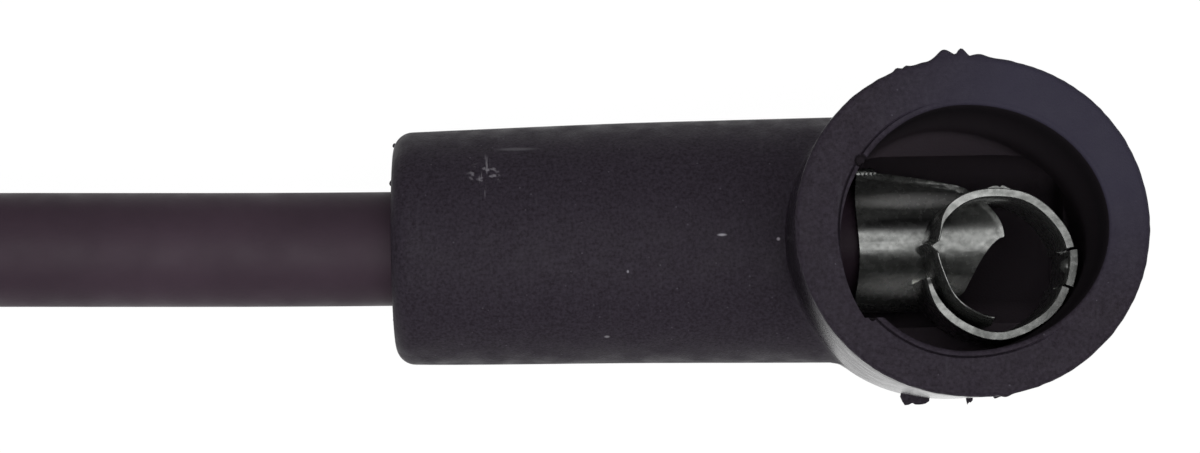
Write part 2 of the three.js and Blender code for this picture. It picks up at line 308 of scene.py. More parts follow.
def combined(piece: Piece, other: Piece, cut: Cut) -> Piece:
    """Joins another piece to a piece, or takes it away, and deletes the other.

    Args:
        piece: the piece that stays.
        other: the piece that is used up.
        cut: join or take.

    Returns:
        The piece that stays.
    """
    modifier = piece.modifiers.new("cut", "BOOLEAN")
    modifier.object = other
    modifier.operation = cut.value
    modifier.solver = "EXACT"
    graph = bpy.context.evaluated_depsgraph_get()
    result = bpy.data.meshes.new_from_object(piece.evaluated_get(graph))
    piece.modifiers.clear()
    piece.data = result
    bpy.data.objects.remove(other)
    return piece


def reshaped(piece: Piece, move: Callable[[Vector], Vector]) -> Piece:
    """Moves each vertex of a piece.

    Args:
        piece: the piece.
        move: gives a vertex's new place from its old one, both in millimetres.

    Returns:
        The piece.
    """
    for vertex in piece.data.vertices:
        vertex.co = move(vertex.co / MM) * MM
    piece.data.update()
    return piece


def dressed(piece: Piece, material: Material, slot: Slot, *nodes: str) -> Piece:
    """Shades a piece, gives it its material and ties it to the frame.

    Args:
        piece: the piece.
        material: its finish.
        slot: the record's slot.
        nodes: the CAD nodes it stands for.

    Returns:
        The piece.
    """
    shape = bmesh.new()
    shape.from_mesh(piece.data)
    bmesh.ops.dissolve_degenerate(shape, edges=shape.edges, dist=SMALLEST)
    for edge in shape.edges:
        edge.smooth = len(edge.link_faces) == 2 and edge.calc_face_angle(0) < SHARP_ANGLE
    for face in shape.faces:
        face.smooth = True
    shape.to_mesh(piece.data)
    shape.free()
    weighted = piece.modifiers.new("flat_faces_stay_flat", "WEIGHTED_NORMAL")
    weighted.keep_sharp = True
    weighted.weight = 80
    piece.data.materials.clear()
    piece.data.materials.append(material)
    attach(piece, "root")
    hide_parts(*nodes)
    LOG.info("%s: %d faces for %s", piece.name, len(piece.data.polygons), ", ".join(nodes))
    return piece


@dataclass(frozen=True)
class Mark:
    """A patch of wear, painted shade or painted light: its place and reach in millimetres, its tone and its
    strokes' stretch.
    """

    place: Triple
    reach: Triple
    tone: Triple = (0.16, 0.15, 0.17)
    strokes: Triple | None = None


class Wires:
    """A node tree, with short ways to add to it."""

    def __init__(self, tree: Tree) -> None:
        """Takes the tree to add to."""
        self.tree = tree

    def link(self, source: Socket, target: Socket) -> None:
        """Joins two sockets."""
        self.tree.links.new(source, target)

    def add(self, kind: str, inputs: dict[str | int, object], **settings: object) -> bpy.types.Node:
        """Adds a node and feeds it.

        Args:
            kind: the node's type, less its ShaderNode.
            inputs: what each of its sockets takes, a socket or a constant.
            settings: the node's own settings, such as its operation.

        Returns:
            The node.
        """
        node = self.tree.nodes.new("ShaderNode" + kind)
        for label, value in settings.items():
            setattr(node, label, value)
        for label, value in inputs.items():
            if isinstance(value, Socket):
                self.link(value, node.inputs[label])
            else:
                node.inputs[label].default_value = value
        return node

    def maths(self, operation: str, first: object, second: object = 0.0, clamp: bool = False) -> Socket:
        """One step of arithmetic on sockets or numbers."""
        node = self.add("Math", {0: first, 1: second}, operation=operation, use_clamp=clamp)
        return node.outputs["Value"]

    def vector(self, operation: str, first: object, *second: object) -> bpy.types.Node:
        """One step of arithmetic on vectors."""
        return self.add("VectorMath", dict(enumerate((first, *second))), operation=operation)

    def ranged(self, value: Socket, low: float, high: float, start: float = 0, end: float = 1) -> Socket:
        """Maps a value from start..end to low..high."""
        inputs = {"Value": value, "To Min": low, "To Max": high, "From Min": start, "From Max": end}
        return self.add("MapRange", inputs).outputs["Result"]

    def mixed(self, mask: Socket, base: Socket, over: Socket | Triple) -> Socket:
        """A colour laid over another where the mask is 1."""
        inputs = {"Factor": mask, "A": base, "B": over if isinstance(over, Socket) else (*over, 1)}
        return self.add("Mix", inputs, data_type="RGBA").outputs["Result"]

    def cloud(self, place: Socket, scale: Socket | float, detail: float, rough: float = 0.5) -> Socket:
        """A plain noise."""
        inputs = {"Vector": place, "Scale": scale, "Detail": detail, "Roughness": rough}
        return self.add("TexNoise", inputs).outputs["Fac"]


class Effects:
    """Shader node groups that more than one finish uses, each made when it is first asked for."""

    @staticmethod
    def group(
        name: str,
        inputs: dict[str, tuple[Kind, object]],
        outputs: dict[str, Kind],
        wire: Callable[[Wires, Sockets], Sockets],
    ) -> Tree:
        """A group with named sockets.

        Args:
            name: the group's name.
            inputs: each input's kind and default.
            outputs: each output's kind.
            wire: adds the nodes between the inputs and the outputs that it returns.

        Returns:
            The group.
        """
        found = bpy.data.node_groups.get(name)
        if found:
            return found
        tree = bpy.data.node_groups.new(name, "ShaderNodeTree")
        for label, (kind, default) in inputs.items():
            socket = tree.interface.new_socket(label, in_out="INPUT", socket_type=kind.value)
            socket.default_value = default
        for label, kind in outputs.items():
            tree.interface.new_socket(label, in_out="OUTPUT", socket_type=kind.value)
        entry = tree.nodes.new("NodeGroupInput").outputs
        result = wire(Wires(tree), {label: entry[label] for label in inputs})
        leaving = tree.nodes.new("NodeGroupOutput")
        for label in outputs:
            tree.links.new(result[label], leaving.inputs[label])
        return tree

    @classmethod
    def mottle(cls) -> Tree:
        """A colour that drifts between two tones.

        Returns:
            The group: Vector, Scale, Dark and Light give Color and Mask.
        """

        def wire(wires: Wires, given: Sockets) -> Sockets:
            """Spreads a fine noise over the two tones."""
            mask = wires.ranged(wires.cloud(given["Vector"], given["Scale"], 5.0, 0.6), 0.0, 1.0, 0.3, 0.7)
            return {"Color": wires.mixed(mask, given["Dark"], given["Light"]), "Mask": mask}

        inputs = {
            "Vector": (Kind.PLACE, (0.0, 0.0, 0.0)),
            "Scale": (Kind.NUMBER, 300.0),
            "Dark": (Kind.COLOUR, (0.02, 0.02, 0.02, 1)),
            "Light": (Kind.COLOUR, (0.04, 0.04, 0.04, 1)),
        }
        return cls.group("Mottle", inputs, {"Color": Kind.COLOUR, "Mask": Kind.NUMBER}, wire)

    @classmethod
    def specks(cls) -> Tree:
        """Small light grains scattered over a surface.

        Returns:
            The group: Vector, Scale, Size and Share give Mask.
        """

        def wire(wires: Wires, given: Sockets) -> Sockets:
            """Keeps the middles of a share of the cells.

            Args:
                wires: the group's tree.
                given: the group's inputs.

            Returns:
                The group's outputs.
            """
            cells = wires.add("TexVoronoi", {"Vector": given["Vector"], "Scale": given["Scale"]}).outputs
            near = wires.maths("LESS_THAN", cells["Distance"], given["Size"])
            chance = wires.add("SeparateColor", {"Color": cells["Color"]}).outputs["Red"]
            chosen = wires.maths("LESS_THAN", chance, given["Share"])
            return {"Mask": wires.maths("MULTIPLY", near, chosen)}

        inputs = {
            "Vector": (Kind.PLACE, (0.0, 0.0, 0.0)),
            "Scale": (Kind.NUMBER, 900.0),
            "Size": (Kind.NUMBER, 0.12),
            "Share": (Kind.NUMBER, 0.04),
        }
        return cls.group("Specks", inputs, {"Mask": Kind.NUMBER}, wire)

    @classmethod
    def patch(cls) -> Tree:
        """A soft-edged patch round a place.

        Returns:
            The group: Vector, Place and Reach give Mask.
        """

        def wire(wires: Wires, given: Sockets) -> Sockets:
            """Fades the patch out towards its reach.

            Args:
                wires: the group's tree.
                given: the group's inputs.

            Returns:
                The group's outputs.
            """
            offset = wires.vector("SUBTRACT", given["Vector"], given["Place"]).outputs["Vector"]
            share = wires.vector("DIVIDE", offset, given["Reach"]).outputs["Vector"]
            away = wires.vector("LENGTH", share).outputs["Value"]
            return {"Mask": wires.ranged(away, 0.0, 1.0, 1.0, 0.4)}

        inputs = {
            "Vector": (Kind.PLACE, (0.0, 0.0, 0.0)),
            "Place": (Kind.PLACE, (0.0, 0.0, 0.0)),
            "Reach": (Kind.PLACE, (0.001, 0.001, 0.001)),
        }
        return cls.group("Patch", inputs, {"Mask": Kind.NUMBER}, wire)

    @classmethod
    def scratches(cls) -> Tree:
        """Fine lines along one direction, from noise stretched by the Stretch vector.

        Returns:
            The group: Vector, Stretch, Scale and Threshold give Mask and Height.
        """

        def wire(wires: Wires, given: Sockets) -> Sockets:
            """Stretches a noise and keeps its peaks, with steep edges.

            Args:
                wires: the group's tree.
                given: the group's inputs.

            Returns:
                The group's outputs.
            """
            drawn = wires.vector("MULTIPLY", given["Vector"], given["Stretch"]).outputs["Vector"]
            lines = wires.cloud(drawn, given["Scale"], 2.0)
            peaks = wires.maths("SUBTRACT", lines, given["Threshold"])
            return {"Mask": wires.maths("MULTIPLY", peaks, 9.0, clamp=True), "Height": lines}

        inputs = {
            "Vector": (Kind.PLACE, (0.0, 0.0, 0.0)),
            "Stretch": (Kind.PLACE, (1.0, 1.0, 1.0)),
            "Scale": (Kind.NUMBER, 1000.0),
            "Threshold": (Kind.NUMBER, 0.62),
        }
        return cls.group("Scratches", inputs, {"Mask": Kind.NUMBER, "Height": Kind.NUMBER}, wire)


class Nodes(Wires):
    """A material's node tree, with its shader and the object's coordinates."""

    def __init__(self, name: str) -> None:
        """Starts a material.

        Args:
            name: the material's name.
        """
        self.material = bpy.data.materials.new(name)
        self.material.use_nodes = True
        super().__init__(self.material.node_tree)
        self.shader = self.tree.nodes["Principled BSDF"]
        self.place = self.add("TexCoord", {}).outputs["Object"]

    def feed(self, **values: object) -> Material:
        """Feeds the shader's own sockets.

        Args:
            values: a socket or a constant for each, with _ for the spaces in a socket's name.

        Returns:
            The material.
        """
        for label, value in values.items():
            target = self.shader.inputs[label.replace("_", " ")]
            if isinstance(value, Socket):
                self.link(value, target)
            else:
                target.default_value = value
        return self.material

    def effect(self, tree: Tree, **values: object) -> bpy.types.Node:
        """Places an effect group, fed with the object's coordinates.

        Args:
            tree: the group.
            values: its input values.

        Returns:
            The group's node.
        """
        node = self.add("Group", {}, node_tree=tree)
        self.link(self.place, node.inputs["Vector"])
        for label, value in values.items():
            node.inputs[label].default_value = value
        return node

    def noise(self, scale: float, detail: float = 3.0) -> Socket:
        """A plain noise in the object's coordinates."""
        return self.cloud(self.place, scale, detail)

    def drifting(self, scale: float, limits: Pair) -> Socket:
        """A value that drifts between two limits."""
        return self.ranged(self.noise(scale), *limits, 0.3, 0.7)

    def mottled(self, scale: float, dark: Triple, light: Triple) -> Socket:
        """A colour that drifts between two tones."""
        node = self.effect(Effects.mottle(), Scale=scale, Dark=(*dark, 1), Light=(*light, 1))
        return node.outputs["Color"]

    def patched(self, mark: Mark) -> Socket:
        """A mask of a mark's patch."""
        place, reach = (tuple(c * MM for c in size) for size in (mark.place, mark.reach))
        return self.effect(Effects.patch(), Place=place, Reach=reach).outputs["Mask"]

    def laid(self, mask: Socket, strength: float, base: Socket, over: Triple) -> Socket:
        """A colour laid over another with some strength where the mask is 1."""
        return self.mixed(self.maths("MULTIPLY", mask, strength), base, over)

    def bump(self, height: Socket, distance: float, strength: float) -> None:
        """Feeds a height to the shader's normal, over the bumps that are there.

        Args:
            height: the height's socket.
            distance: metres at a height of 1.
            strength: how much of it shows.
        """
        normal = self.shader.inputs["Normal"]
        inputs = {"Strength": strength, "Distance": distance, "Height": height}
        if normal.is_linked:
            inputs["Normal"] = normal.links[0].from_socket
        self.link(self.add("Bump", inputs).outputs["Normal"], normal)


@dataclass(frozen=True)
class BootRubber:
    """Matt moulded rubber: a faint cool tone, fine grain, stray light grains and rub marks.

    Seen along its surface it mirrors as a smoother one does. Inside a bore, painted shade darkens it below
    the rim and painted light brightens it deeper down.
    """

    bore_centre: Pair
    bore_top: float
    marks: tuple[Mark, ...]
    name: str = "moulded_rubber"
    dark: Triple = (0.015, 0.0115, 0.016)
    light: Triple = (0.034, 0.028, 0.0385)
    mottle_scale: float = 5200.0
    grain: Triple = (0.16, 0.15, 0.18)
    grain_scale: float = 3000.0
    grain_size: float = 0.16
    grain_share: float = 0.045
    grain_strength: float = 0.25
    rub: Triple = (0.05, 0.046, 0.056)
    rub_stretch: Triple = (3.0, 0.25, 0.6)
    rub_scale: float = 900.0
    rub_threshold: float = 0.64
    rub_strength: float = 0.22
    stroke_scale: float = 2200.0
    stroke_threshold: float = 0.56
    roughness: Pair = (0.38, 0.6)
    roughness_scale: float = 700.0
    grazing: Pair = (0.9, 0.99)
    grazing_share: float = 0.15
    specular: float = 0.05
    bore_radius: float = 8.15
    # Painted shade and painted light in the bore: rim_shade darkens its walls below the rim, and the
    # painted light tones brighten it deeper down, on its floor and on the chamber's sides.
    rim_shade: Triple = (0.0155, 0.0125, 0.0155)
    painted_bore_light: Triple = (0.104, 0.084, 0.1)
    painted_light_depths: Pair = (20.0, 4.0)
    painted_floor_light: float = 0.64
    painted_chamber_light: Pair = (0.34, 1.0)
    chamber_sides: Pair = (3.3, 4.6)
    chamber_top: Pair = (7.0, 9.0)

    def build(self) -> Material:
        """Makes the material.

        Returns:
            The material.
        """
        nodes = Nodes(self.name)
        grains = nodes.effect(
            Effects.specks(), Scale=self.grain_scale, Size=self.grain_size, Share=self.grain_share
        )
        rubs = nodes.effect(
            Effects.scratches(),
            Stretch=self.rub_stretch,
            Scale=self.rub_scale,
            Threshold=self.rub_threshold,
        )
        colour = nodes.mottled(self.mottle_scale, self.dark, self.light)
        colour = nodes.laid(rubs.outputs["Mask"], self.rub_strength, colour, self.rub)
        colour = nodes.laid(grains.outputs["Mask"], self.grain_strength, colour, self.grain)
        # The marks: wear, with a patch of painted light and a patch of painted shade among them.
        for mark in self.marks:
            colour = nodes.mixed(self.marked(nodes, mark), colour, mark.tone)
        facing = nodes.add("LayerWeight", {}).outputs["Facing"]
        smoother = nodes.ranged(facing, 1.0, self.grazing_share, *self.grazing)
        rough = nodes.maths("MULTIPLY", nodes.drifting(self.roughness_scale, self.roughness), smoother)
        inside, pale = self.inside(nodes)
        # Painted shade: the bore's walls below the rim are darkened.
        colour = nodes.mixed(inside, colour, self.rim_shade)
        # Painted light: a paler tone laid deeper in the bore, strongest on its floor and on the chamber's
        # sides.
        colour = nodes.mixed(nodes.maths("MULTIPLY", inside, pale), colour, self.painted_bore_light)
        nodes.bump(nodes.noise(9000.0, 2.0), 0.00003, 0.7)
        nodes.bump(nodes.noise(1500.0, 4.0), 0.00004, 0.5)
        return nodes.feed(
            Base_Color=colour,
            Roughness=nodes.maths("MAXIMUM", rough, inside),
            Specular_IOR_Level=self.specular,
        )

    def marked(self, nodes: Nodes, mark: Mark) -> Socket:
        """A mask of one mark, a patch that fades outwards.

        Args:
            nodes: the material's nodes.
            mark: the mark.

        Returns:
            The mask, broken into strokes where the mark has them.
        """
        patch = nodes.patched(mark)
        if not mark.strokes:
            return patch
        lines = nodes.effect(
            Effects.scratches(),
            Stretch=mark.strokes,
            Scale=self.stroke_scale,
            Threshold=self.stroke_threshold,
        )
        return nodes.maths("MULTIPLY", patch, lines.outputs["Mask"])

    def inside(self, nodes: Nodes) -> tuple[Socket, Socket]:
        """Masks of the bore and of the painted light in it.

        Args:
            nodes: the material's nodes.

        Returns:
            A mask that is 1 inside the bore, below its rim, where painted shade darkens the rubber, and one
            of the painted light there, which grows with depth and is weaker in the middle of the chamber.
        """
        x, y, z = nodes.add("SeparateXYZ", {"Vector": nodes.place}).outputs
        across, away = (
            nodes.maths("SUBTRACT", part, middle * MM) for part, middle in zip((x, y), self.bore_centre)
        )
        squared = nodes.maths("ADD", nodes.maths("POWER", across, 2.0), nodes.maths("POWER", away, 2.0))
        near = nodes.maths("LESS_THAN", squared, (self.bore_radius * MM) ** 2)
        low = nodes.maths("LESS_THAN", z, self.bore_top * MM)
        deep = nodes.ranged(z, 1.0, 0.0, *((self.bore_top - depth) * MM for depth in self.painted_light_depths))
        floor = nodes.ranged(z, 0.0, 1.0, *(height * MM for height in self.chamber_top))
        sides = (side * MM for side in self.chamber_sides)
        side = nodes.ranged(nodes.maths("ABSOLUTE", away), *self.painted_chamber_light, *sides)
        chamber = nodes.maths("MULTIPLY", side, nodes.maths("SUBTRACT", 1.0, floor))
        lit = nodes.maths("ADD", chamber, nodes.maths("MULTIPLY", floor, self.painted_floor_light))
        return nodes.maths("MULTIPLY", near, low), nodes.maths("MULTIPLY", deep, lit)


@dataclass(frozen=True)
class JacketRubber:
    """Satin extruded jacket with a few light grains."""

    name: str = "extruded_jacket"
    dark: Triple = (0.033, 0.021, 0.03)
    light: Triple = (0.044, 0.028, 0.04)
    grain: Triple = (0.2, 0.19, 0.2)
    grain_strength: float = 0.5
    roughness: Pair = (0.44, 0.58)
    specular: float = 0.12

    def build(self) -> Material:
        """Makes the material.

        Returns:
            The material.
        """
        nodes = Nodes(self.name)
        grains = nodes.effect(Effects.specks(), Scale=1300.0, Size=0.15, Share=0.01)
        tone = nodes.mottled(160.0, self.dark, self.light)
        nodes.bump(nodes.noise(5000.0), 0.000015, 0.6)
        return nodes.feed(
            Base_Color=nodes.laid(grains.outputs["Mask"], self.grain_strength, tone, self.grain),
            Roughness=nodes.drifting(500.0, self.roughness),
            Specular_IOR_Level=self.specular,
        )


@dataclass(frozen=True)
class TarnishedSheet:
    """Rolled plated sheet, half bright, with dull patches, draw lines, and painted light and dark bands
    that stand in for reflections.
    """

    painted_reflection_bands: tuple[Mark, ...]
    name: str = "tarnished_sheet"
    dull: Triple = (0.075, 0.078, 0.074)
    bright: Triple = (0.2, 0.204, 0.197)
    worn: Triple = (0.28, 0.284, 0.277)
    worn_strength: float = 0.35
    draw_stretch: Triple = (0.12, 1.5, 1.5)
    roughness: Pair = (0.18, 0.34)
    metallic: float = 0.6

    def build(self) -> Material:
        """Makes the material.

        Returns:
            The material.
        """
        nodes = Nodes(self.name)
        lines = nodes.effect(Effects.scratches(), Stretch=self.draw_stretch, Scale=1400.0, Threshold=0.5)
        colour = nodes.mottled(2600.0, self.dull, self.bright)
        colour = nodes.laid(lines.outputs["Mask"], self.worn_strength, colour, self.worn)
        # Painted reflections: light and dark bands laid into the sheet's colour.
        for painted_band in self.painted_reflection_bands:
            colour = nodes.mixed(nodes.patched(painted_band), colour, painted_band.tone)
        nodes.bump(lines.outputs["Height"], 0.000004, 0.4)
        return nodes.feed(
            Base_Color=colour, Roughness=nodes.drifting(2200.0, self.roughness), Metallic=self.metallic
        )


@dataclass(frozen=True)
class SpringWire:
    """Drawn spring wire, brighter and smoother than the sheet."""

    name: str = "spring_wire"
    dull: Triple = (0.4, 0.4, 0.38)
    bright: Triple = (0.58, 0.58, 0.55)
    roughness: Pair = (0.2, 0.36)

    def build(self) -> Material:
        """Makes the material.

        Returns:
            The material.
        """
        nodes = Nodes(self.name)
        tone = nodes.mottled(900.0, self.dull, self.bright)
        return nodes.feed(Base_Color=tone, Roughness=nodes.drifting(2500.0, self.roughness), Metallic=1.0)


@dataclass(frozen=True)
class FibreCore:
    """Black carbon-filled fibre strand."""

    name: str = "fibre_core"
    dark: Triple = (0.01, 0.01, 0.01)
    light: Triple = (0.035, 0.035, 0.035)
    strand_stretch: Triple = (0.3, 4.0, 4.0)
    roughness: float = 0.8

    def build(self) -> Material:
        """Makes the material.

        Returns:
            The material.
        """
        nodes = Nodes(self.name)
        stretch = self.strand_stretch
        strands = nodes.effect(Effects.scratches(), Stretch=stretch, Scale=2500.0, Threshold=0.5)
        tone = nodes.mottled(2500.0, self.dark, self.light)
        nodes.bump(strands.outputs["Height"], 0.00008, 0.9)
        return nodes.feed(Base_Color=tone, Roughness=self.roughness)


@dataclass(frozen=True)
class StrapNylon:
    """Black moulded strap with a faint sheen."""

    name: str = "strap_nylon"
    dark: Triple = (0.014, 0.014, 0.015)
    light: Triple = (0.024, 0.024, 0.026)
    roughness: Pair = (0.34, 0.5)

    def build(self) -> Material:
        """Makes the material.

        Returns:
            The material.
        """
        nodes = Nodes(self.name)
        nodes.bump(nodes.noise(4000.0), 0.00002, 0.4)
        tone = nodes.mottled(500.0, self.dark, self.light)
        return nodes.feed(Base_Color=tone, Roughness=nodes.drifting(1500.0, self.roughness))


@dataclass(frozen=True)
class Lump:
    """A swelling of the barrel: where round it and how wide, in degrees, and how far out."""

    angle: float
    width: float
    size: float

    def at(self, angle: float) -> float:
        """How far it stands out at an angle."""
        return self.size * bell(angle, self.angle, self.width)


@dataclass(frozen=True)
class Flake:
    """A torn flake of mould flash: its angle and half width in degrees, its reach and its height."""

    angle: float
    width: float
    reach: float
    height: float


@dataclass
class ElbowBoot:
    """The moulded elbow boot: a tapered arm that runs into an upright barrel."""

    barrel_x: float
    mouth: float
    half_width: float = 10.0
    half_height: float = 9.52
    bore_width: float = 7.42
    bore_height: float = 6.93
    bore_shift: Pair = (0.24, -0.03)
    bore_lean: float = -0.56
    bore_corner: float = 0.8
    bore_floor: float = 9.2
    lip: float = 0.14
    groove: float = 0.15
    groove_depth: float = 0.15
    groove_side: Pair = (-0.87, -0.5)
    groove_least: float = 0.08
    back_round: float = 7.0
    draft: float = 0.18
    rim_height: float = 2.5
    rim_round: float = 0.3
    rim_flat: float = 0.25
    rim_chamfer: float = 0.15
    rim_waver: float = 0.03
    lean: float = 0.51
    swells: tuple[Lump, ...] = (Lump(128.0, 32.0, 0.4), Lump(-122.0, 26.0, 0.18))
    arm_length: float = 33.6
    arm_end: float = 7.08
    arm_root: float = 7.6
    arm_swell: float = 0.7
    arm_sway: float = 0.15
    arm_round: float = 1.2
    arm_y: float = 0.3
    axis_height: float = 7.9
    fillet: float = 0.4
    passage: float = 3.8
    passage_flare: float = 0.5
    chamber: float = 5.3
    chamber_start: float = 12.0
    chamber_reach: float = 7.2
    chamber_corner: float = 1.0
    keyway_width: float = 8.75
    keyway_left: float = -7.5
    keyway_bulge: float = 1.3
    keyway_y: float = -0.65
    notches: tuple[Triple, ...] = ((-6.25, 3.85, 0.4), (-5.75, -5.0, 0.22))
    lumps: tuple[Lump, ...] = (
        Lump(98.2, 3.4, 0.52), Lump(92.6, 2.0, 0.52), Lump(87.0, 3.4, 0.2),
        Lump(114.6, 1.2, 0.16), Lump(111.4, 1.0, 0.12), Lump(-80.0, 1.8, 0.14),
    )
    flakes: tuple[Flake, ...] = (
        Flake(-103.0, 4.9, 0.6, 7.2), Flake(-89.0, 1.2, 0.35, 17.0), Flake(-77.0, 2.0, 0.25, 14.0),
    )
    film: float = 0.12
    burrs: tuple[Triple, ...] = (
        (-0.05, 4.0, 0.24), (0.1, 6.3, 0.16), (0.02, 4.6, 0.18), (0.04, -4.35, 0.2),
    )
    sides: int = 540
    pitch: float = 0.6
    rim_pitch: float = 0.2

    def barrel(self) -> Piece:
        """The barrel's outside, closed at its back and mouth.

        Returns:
            The barrel.
        """
        radius = self.half_height
        back = (radius - self.draft - self.back_round, self.back_round)
        edge = (radius - self.rim_round, self.mouth - self.rim_round)
        wall = [*arc(back, self.back_round, -90, 0, 16), (radius, self.mouth - self.rim_height)]
        rim = [wall[-1], *arc(edge, self.rim_round, 0, 90, 5), (edge[0] - self.rim_flat, self.mouth)]
        outside = [*stretched(wall, self.pitch), *stretched(rim, self.rim_pitch)[1:]]
        profile = [(0.0, 0.0), *outside, (0.0, self.mouth)]
        oval, centre = self.half_width / radius, (self.barrel_x, 0, 0)
        return reshaped(turned("elbow_boot", profile, self.sides, oval=oval, centre=centre), self.leaned)

    def leaned(self, place: Vector) -> Vector:
        """Leans and swells a point of the oval: the far half stays round, and the arm's half is fuller.

        Args:
            place: the point, in millimetres.

        Returns:
            Its new place.
        """
        x, y = place.x - self.barrel_x, place.y
        across = x / self.half_width
        size = math.hypot(across, y / self.half_height)
        swell = self.swell(x, y) * size / max(math.hypot(x, y), 1e-6)
        moved = place + Vector((self.lean * max(size - abs(across), 0.0), 0, 0))
        return moved + Vector((x, y, 0)) * swell

    def swell(self, x: float, y: float) -> float:
        """How far the barrel stands out past its oval, less its draft, in the direction of a point."""
        angle = math.degrees(math.atan2(y, x))
        return sum(swell.at(angle) for swell in self.swells)

    def arm_radius(self, x: float) -> float:
        """The arm's radius at a place along it, from the barrel's axis."""
        return self.arm_end + (self.arm_root - self.arm_end) * self.arm_share(x) ** self.arm_swell

    def arm_share(self, x: float) -> float:
        """How far along the arm a place is: 0 at its end face and 1 at the barrel's axis."""
        return min(max((x + self.arm_length) / self.arm_length, 0.0), 1.0)

    def arm_middle(self, x: float) -> float:
        """Where the arm's middle lies across, which drifts a little towards the barrel."""
        return self.arm_y + self.arm_sway * smoothstep(self.arm_share(x), 0.0, 0.5)

    def arm(self) -> Piece:
        """The arm's outside, with its rounded end.

        Returns:
            The arm.
        """
        end = -self.arm_length
        steps = np.linspace(end + self.arm_round, 0.0, 24)
        corner = (self.arm_radius(steps[0]) - self.arm_round, steps[0])
        wall = [*arc(corner, self.arm_round, -90, 0, 10), *((self.arm_radius(x), x) for x in steps[1:])]
        profile = [(0.0, end), *stretched(wall, self.pitch), (0.0, 0.0)]
        arm = turned("arm", profile, 180, Axis.X, centre=(self.barrel_x, 0, self.axis_height))
        return reshaped(arm, lambda p: p + Vector((0, self.arm_middle(p.x - self.barrel_x), 0)))

    def skin(self, place: np.ndarray) -> float:
        """Signed distance to the outside, with the crease between arm and barrel filled in.

        Args:
            place: a point in the frame, in millimetres.

        Returns:
            The distance, negative inside.
        """
        x, y, z = place[0] - self.barrel_x, place[1], place[2]
        size = math.hypot(x / self.half_width, y / self.half_height)
        upright = (x - self.lean * size) / (1 + self.lean / self.half_width)
        radial = math.hypot(upright * self.half_height / self.half_width, y)
        draft = self.draft * (1 - smoothstep(z, self.back_round, self.mouth - self.rim_height))
        across = radial - (self.half_height + self.swell(x, y) - draft - self.back_round)
        under = self.back_round - z
        barrel = math.hypot(max(across, 0), max(under, 0)) - self.back_round + min(max(across, under), 0)
        arm = math.hypot(y - self.arm_middle(x), z - self.axis_height) - self.arm_radius(x)
        overlap = max(self.fillet - abs(barrel - arm), 0.0)
        return min(barrel, arm) - overlap * overlap / (4 * self.fillet) if overlap > 0 else 1.0

    def filleted(self, place: Vector) -> Vector:
        """Moves a point of the outside near the crease out to the filled-in skin.

        Args:
            place: the point, in millimetres.

        Returns:
            Its new place.
        """
        point = np.array(place, dtype=float)
        x, rise = point[0] - self.barrel_x, abs(point[2] - self.axis_height)
        near_crease = -self.half_width - 3 * self.fillet <= x <= -4
        if not near_crease or rise > self.arm_root + 2 * self.fillet:
            return place
        step, close_enough, least_slope = 0.01, 0.002, 0.2
        for _ in range(5):
            distance = self.skin(point)
            if distance > -close_enough:
                break
            slope = np.array([self.skin(point + d) - distance for d in np.eye(3) * step]) / step
            point = point - slope * distance / max(float(slope @ slope), least_slope)
            point[2] = max(point[2], 0.0)
        return Vector(point)

    def hollow(self) -> Piece:
        """The bore with its groove, keyway and notches, and the hollow in the arm.

        Returns:
            The piece to take away from the boot.
        """
        hollow = combined(self.bore(), self.rim_groove(), Cut.JOIN)
        combined(hollow, self.keyway(), Cut.JOIN)
        for notch in self.notches:
            combined(hollow, self.notch(*notch), Cut.JOIN)
        return combined(hollow, self.arm_hollow(), Cut.JOIN)

    def bore(self) -> Piece:
        """The bore, from its floor out past the mouth, with the rim's chamfer.

        Returns:
            The piece to take away.
        """
        size, corner, floor = self.bore_height, self.bore_corner, self.bore_floor
        chamfer, rim = self.rim_chamfer, self.bore_height + self.rim_chamfer
        profile = [
            (0.0, floor),
            *arc((size - corner, floor + corner), corner, -90, 0, 4),
            *stretched([(size, floor + corner + 0.1), (size, self.mouth - chamfer)], 1.5),
            (rim - chamfer * 0.65, self.mouth - chamfer * 0.4),
            (rim, self.mouth),
            (rim, self.mouth + PAST),
            (0.0, self.mouth + PAST),
        ]
        return self.bored("bore", profile)

    def rim_groove(self) -> Piece:
        """The shallow groove that leaves a thin lip round the bore's rim.

        Returns:
            The piece to take away.
        """
        inner = self.bore_height + self.rim_chamfer + self.lip
        outer = inner + self.groove
        profile = [
            (inner, self.mouth + PAST),
            (inner, self.mouth),
            (inner + self.groove * 0.4, self.mouth - self.groove_depth),
            (outer, self.mouth),
            (outer, self.mouth + PAST),
        ]
        return reshaped(self.bored("groove", profile), self.shallowed)

    def shallowed(self, place: Vector) -> Vector:
        """Lets the groove round the rim run out on the side away from the arm.

        Args:
            place: a point of the groove, in millimetres.

        Returns:
            Its new place.
        """
        if place.z > self.mouth - 0.01:
            return place
        outward = Vector((place.x - self.barrel_x, place.y, 0)).normalized()
        side = outward.dot(Vector((*self.groove_side, 0)))
        share = self.groove_least + (1 - self.groove_least) * smoothstep(side, -0.4, 0.5)
        return Vector((place.x, place.y, self.mouth - (self.mouth - place.z) * share))

    def keyway(self) -> Piece:
        """The keyway that lets the terminal slide in, bulged towards the arm.

        Returns:
            The piece to take away.
        """
        half_width, bulge = self.keyway_width / 2, self.keyway_bulge
        radius = (half_width**2 + bulge**2) / (2 * bulge)
        half = math.degrees(math.asin(half_width / radius))
        middle = (self.barrel_x + self.keyway_left + radius, self.keyway_y)
        outline = arc(middle, radius, 180 - half, 180 + half, 24)
        outline += [(self.barrel_x, self.keyway_y + side) for side in (-half_width, half_width)]
        return prism("keyway", outline, self.axis_height, self.mouth + PAST)

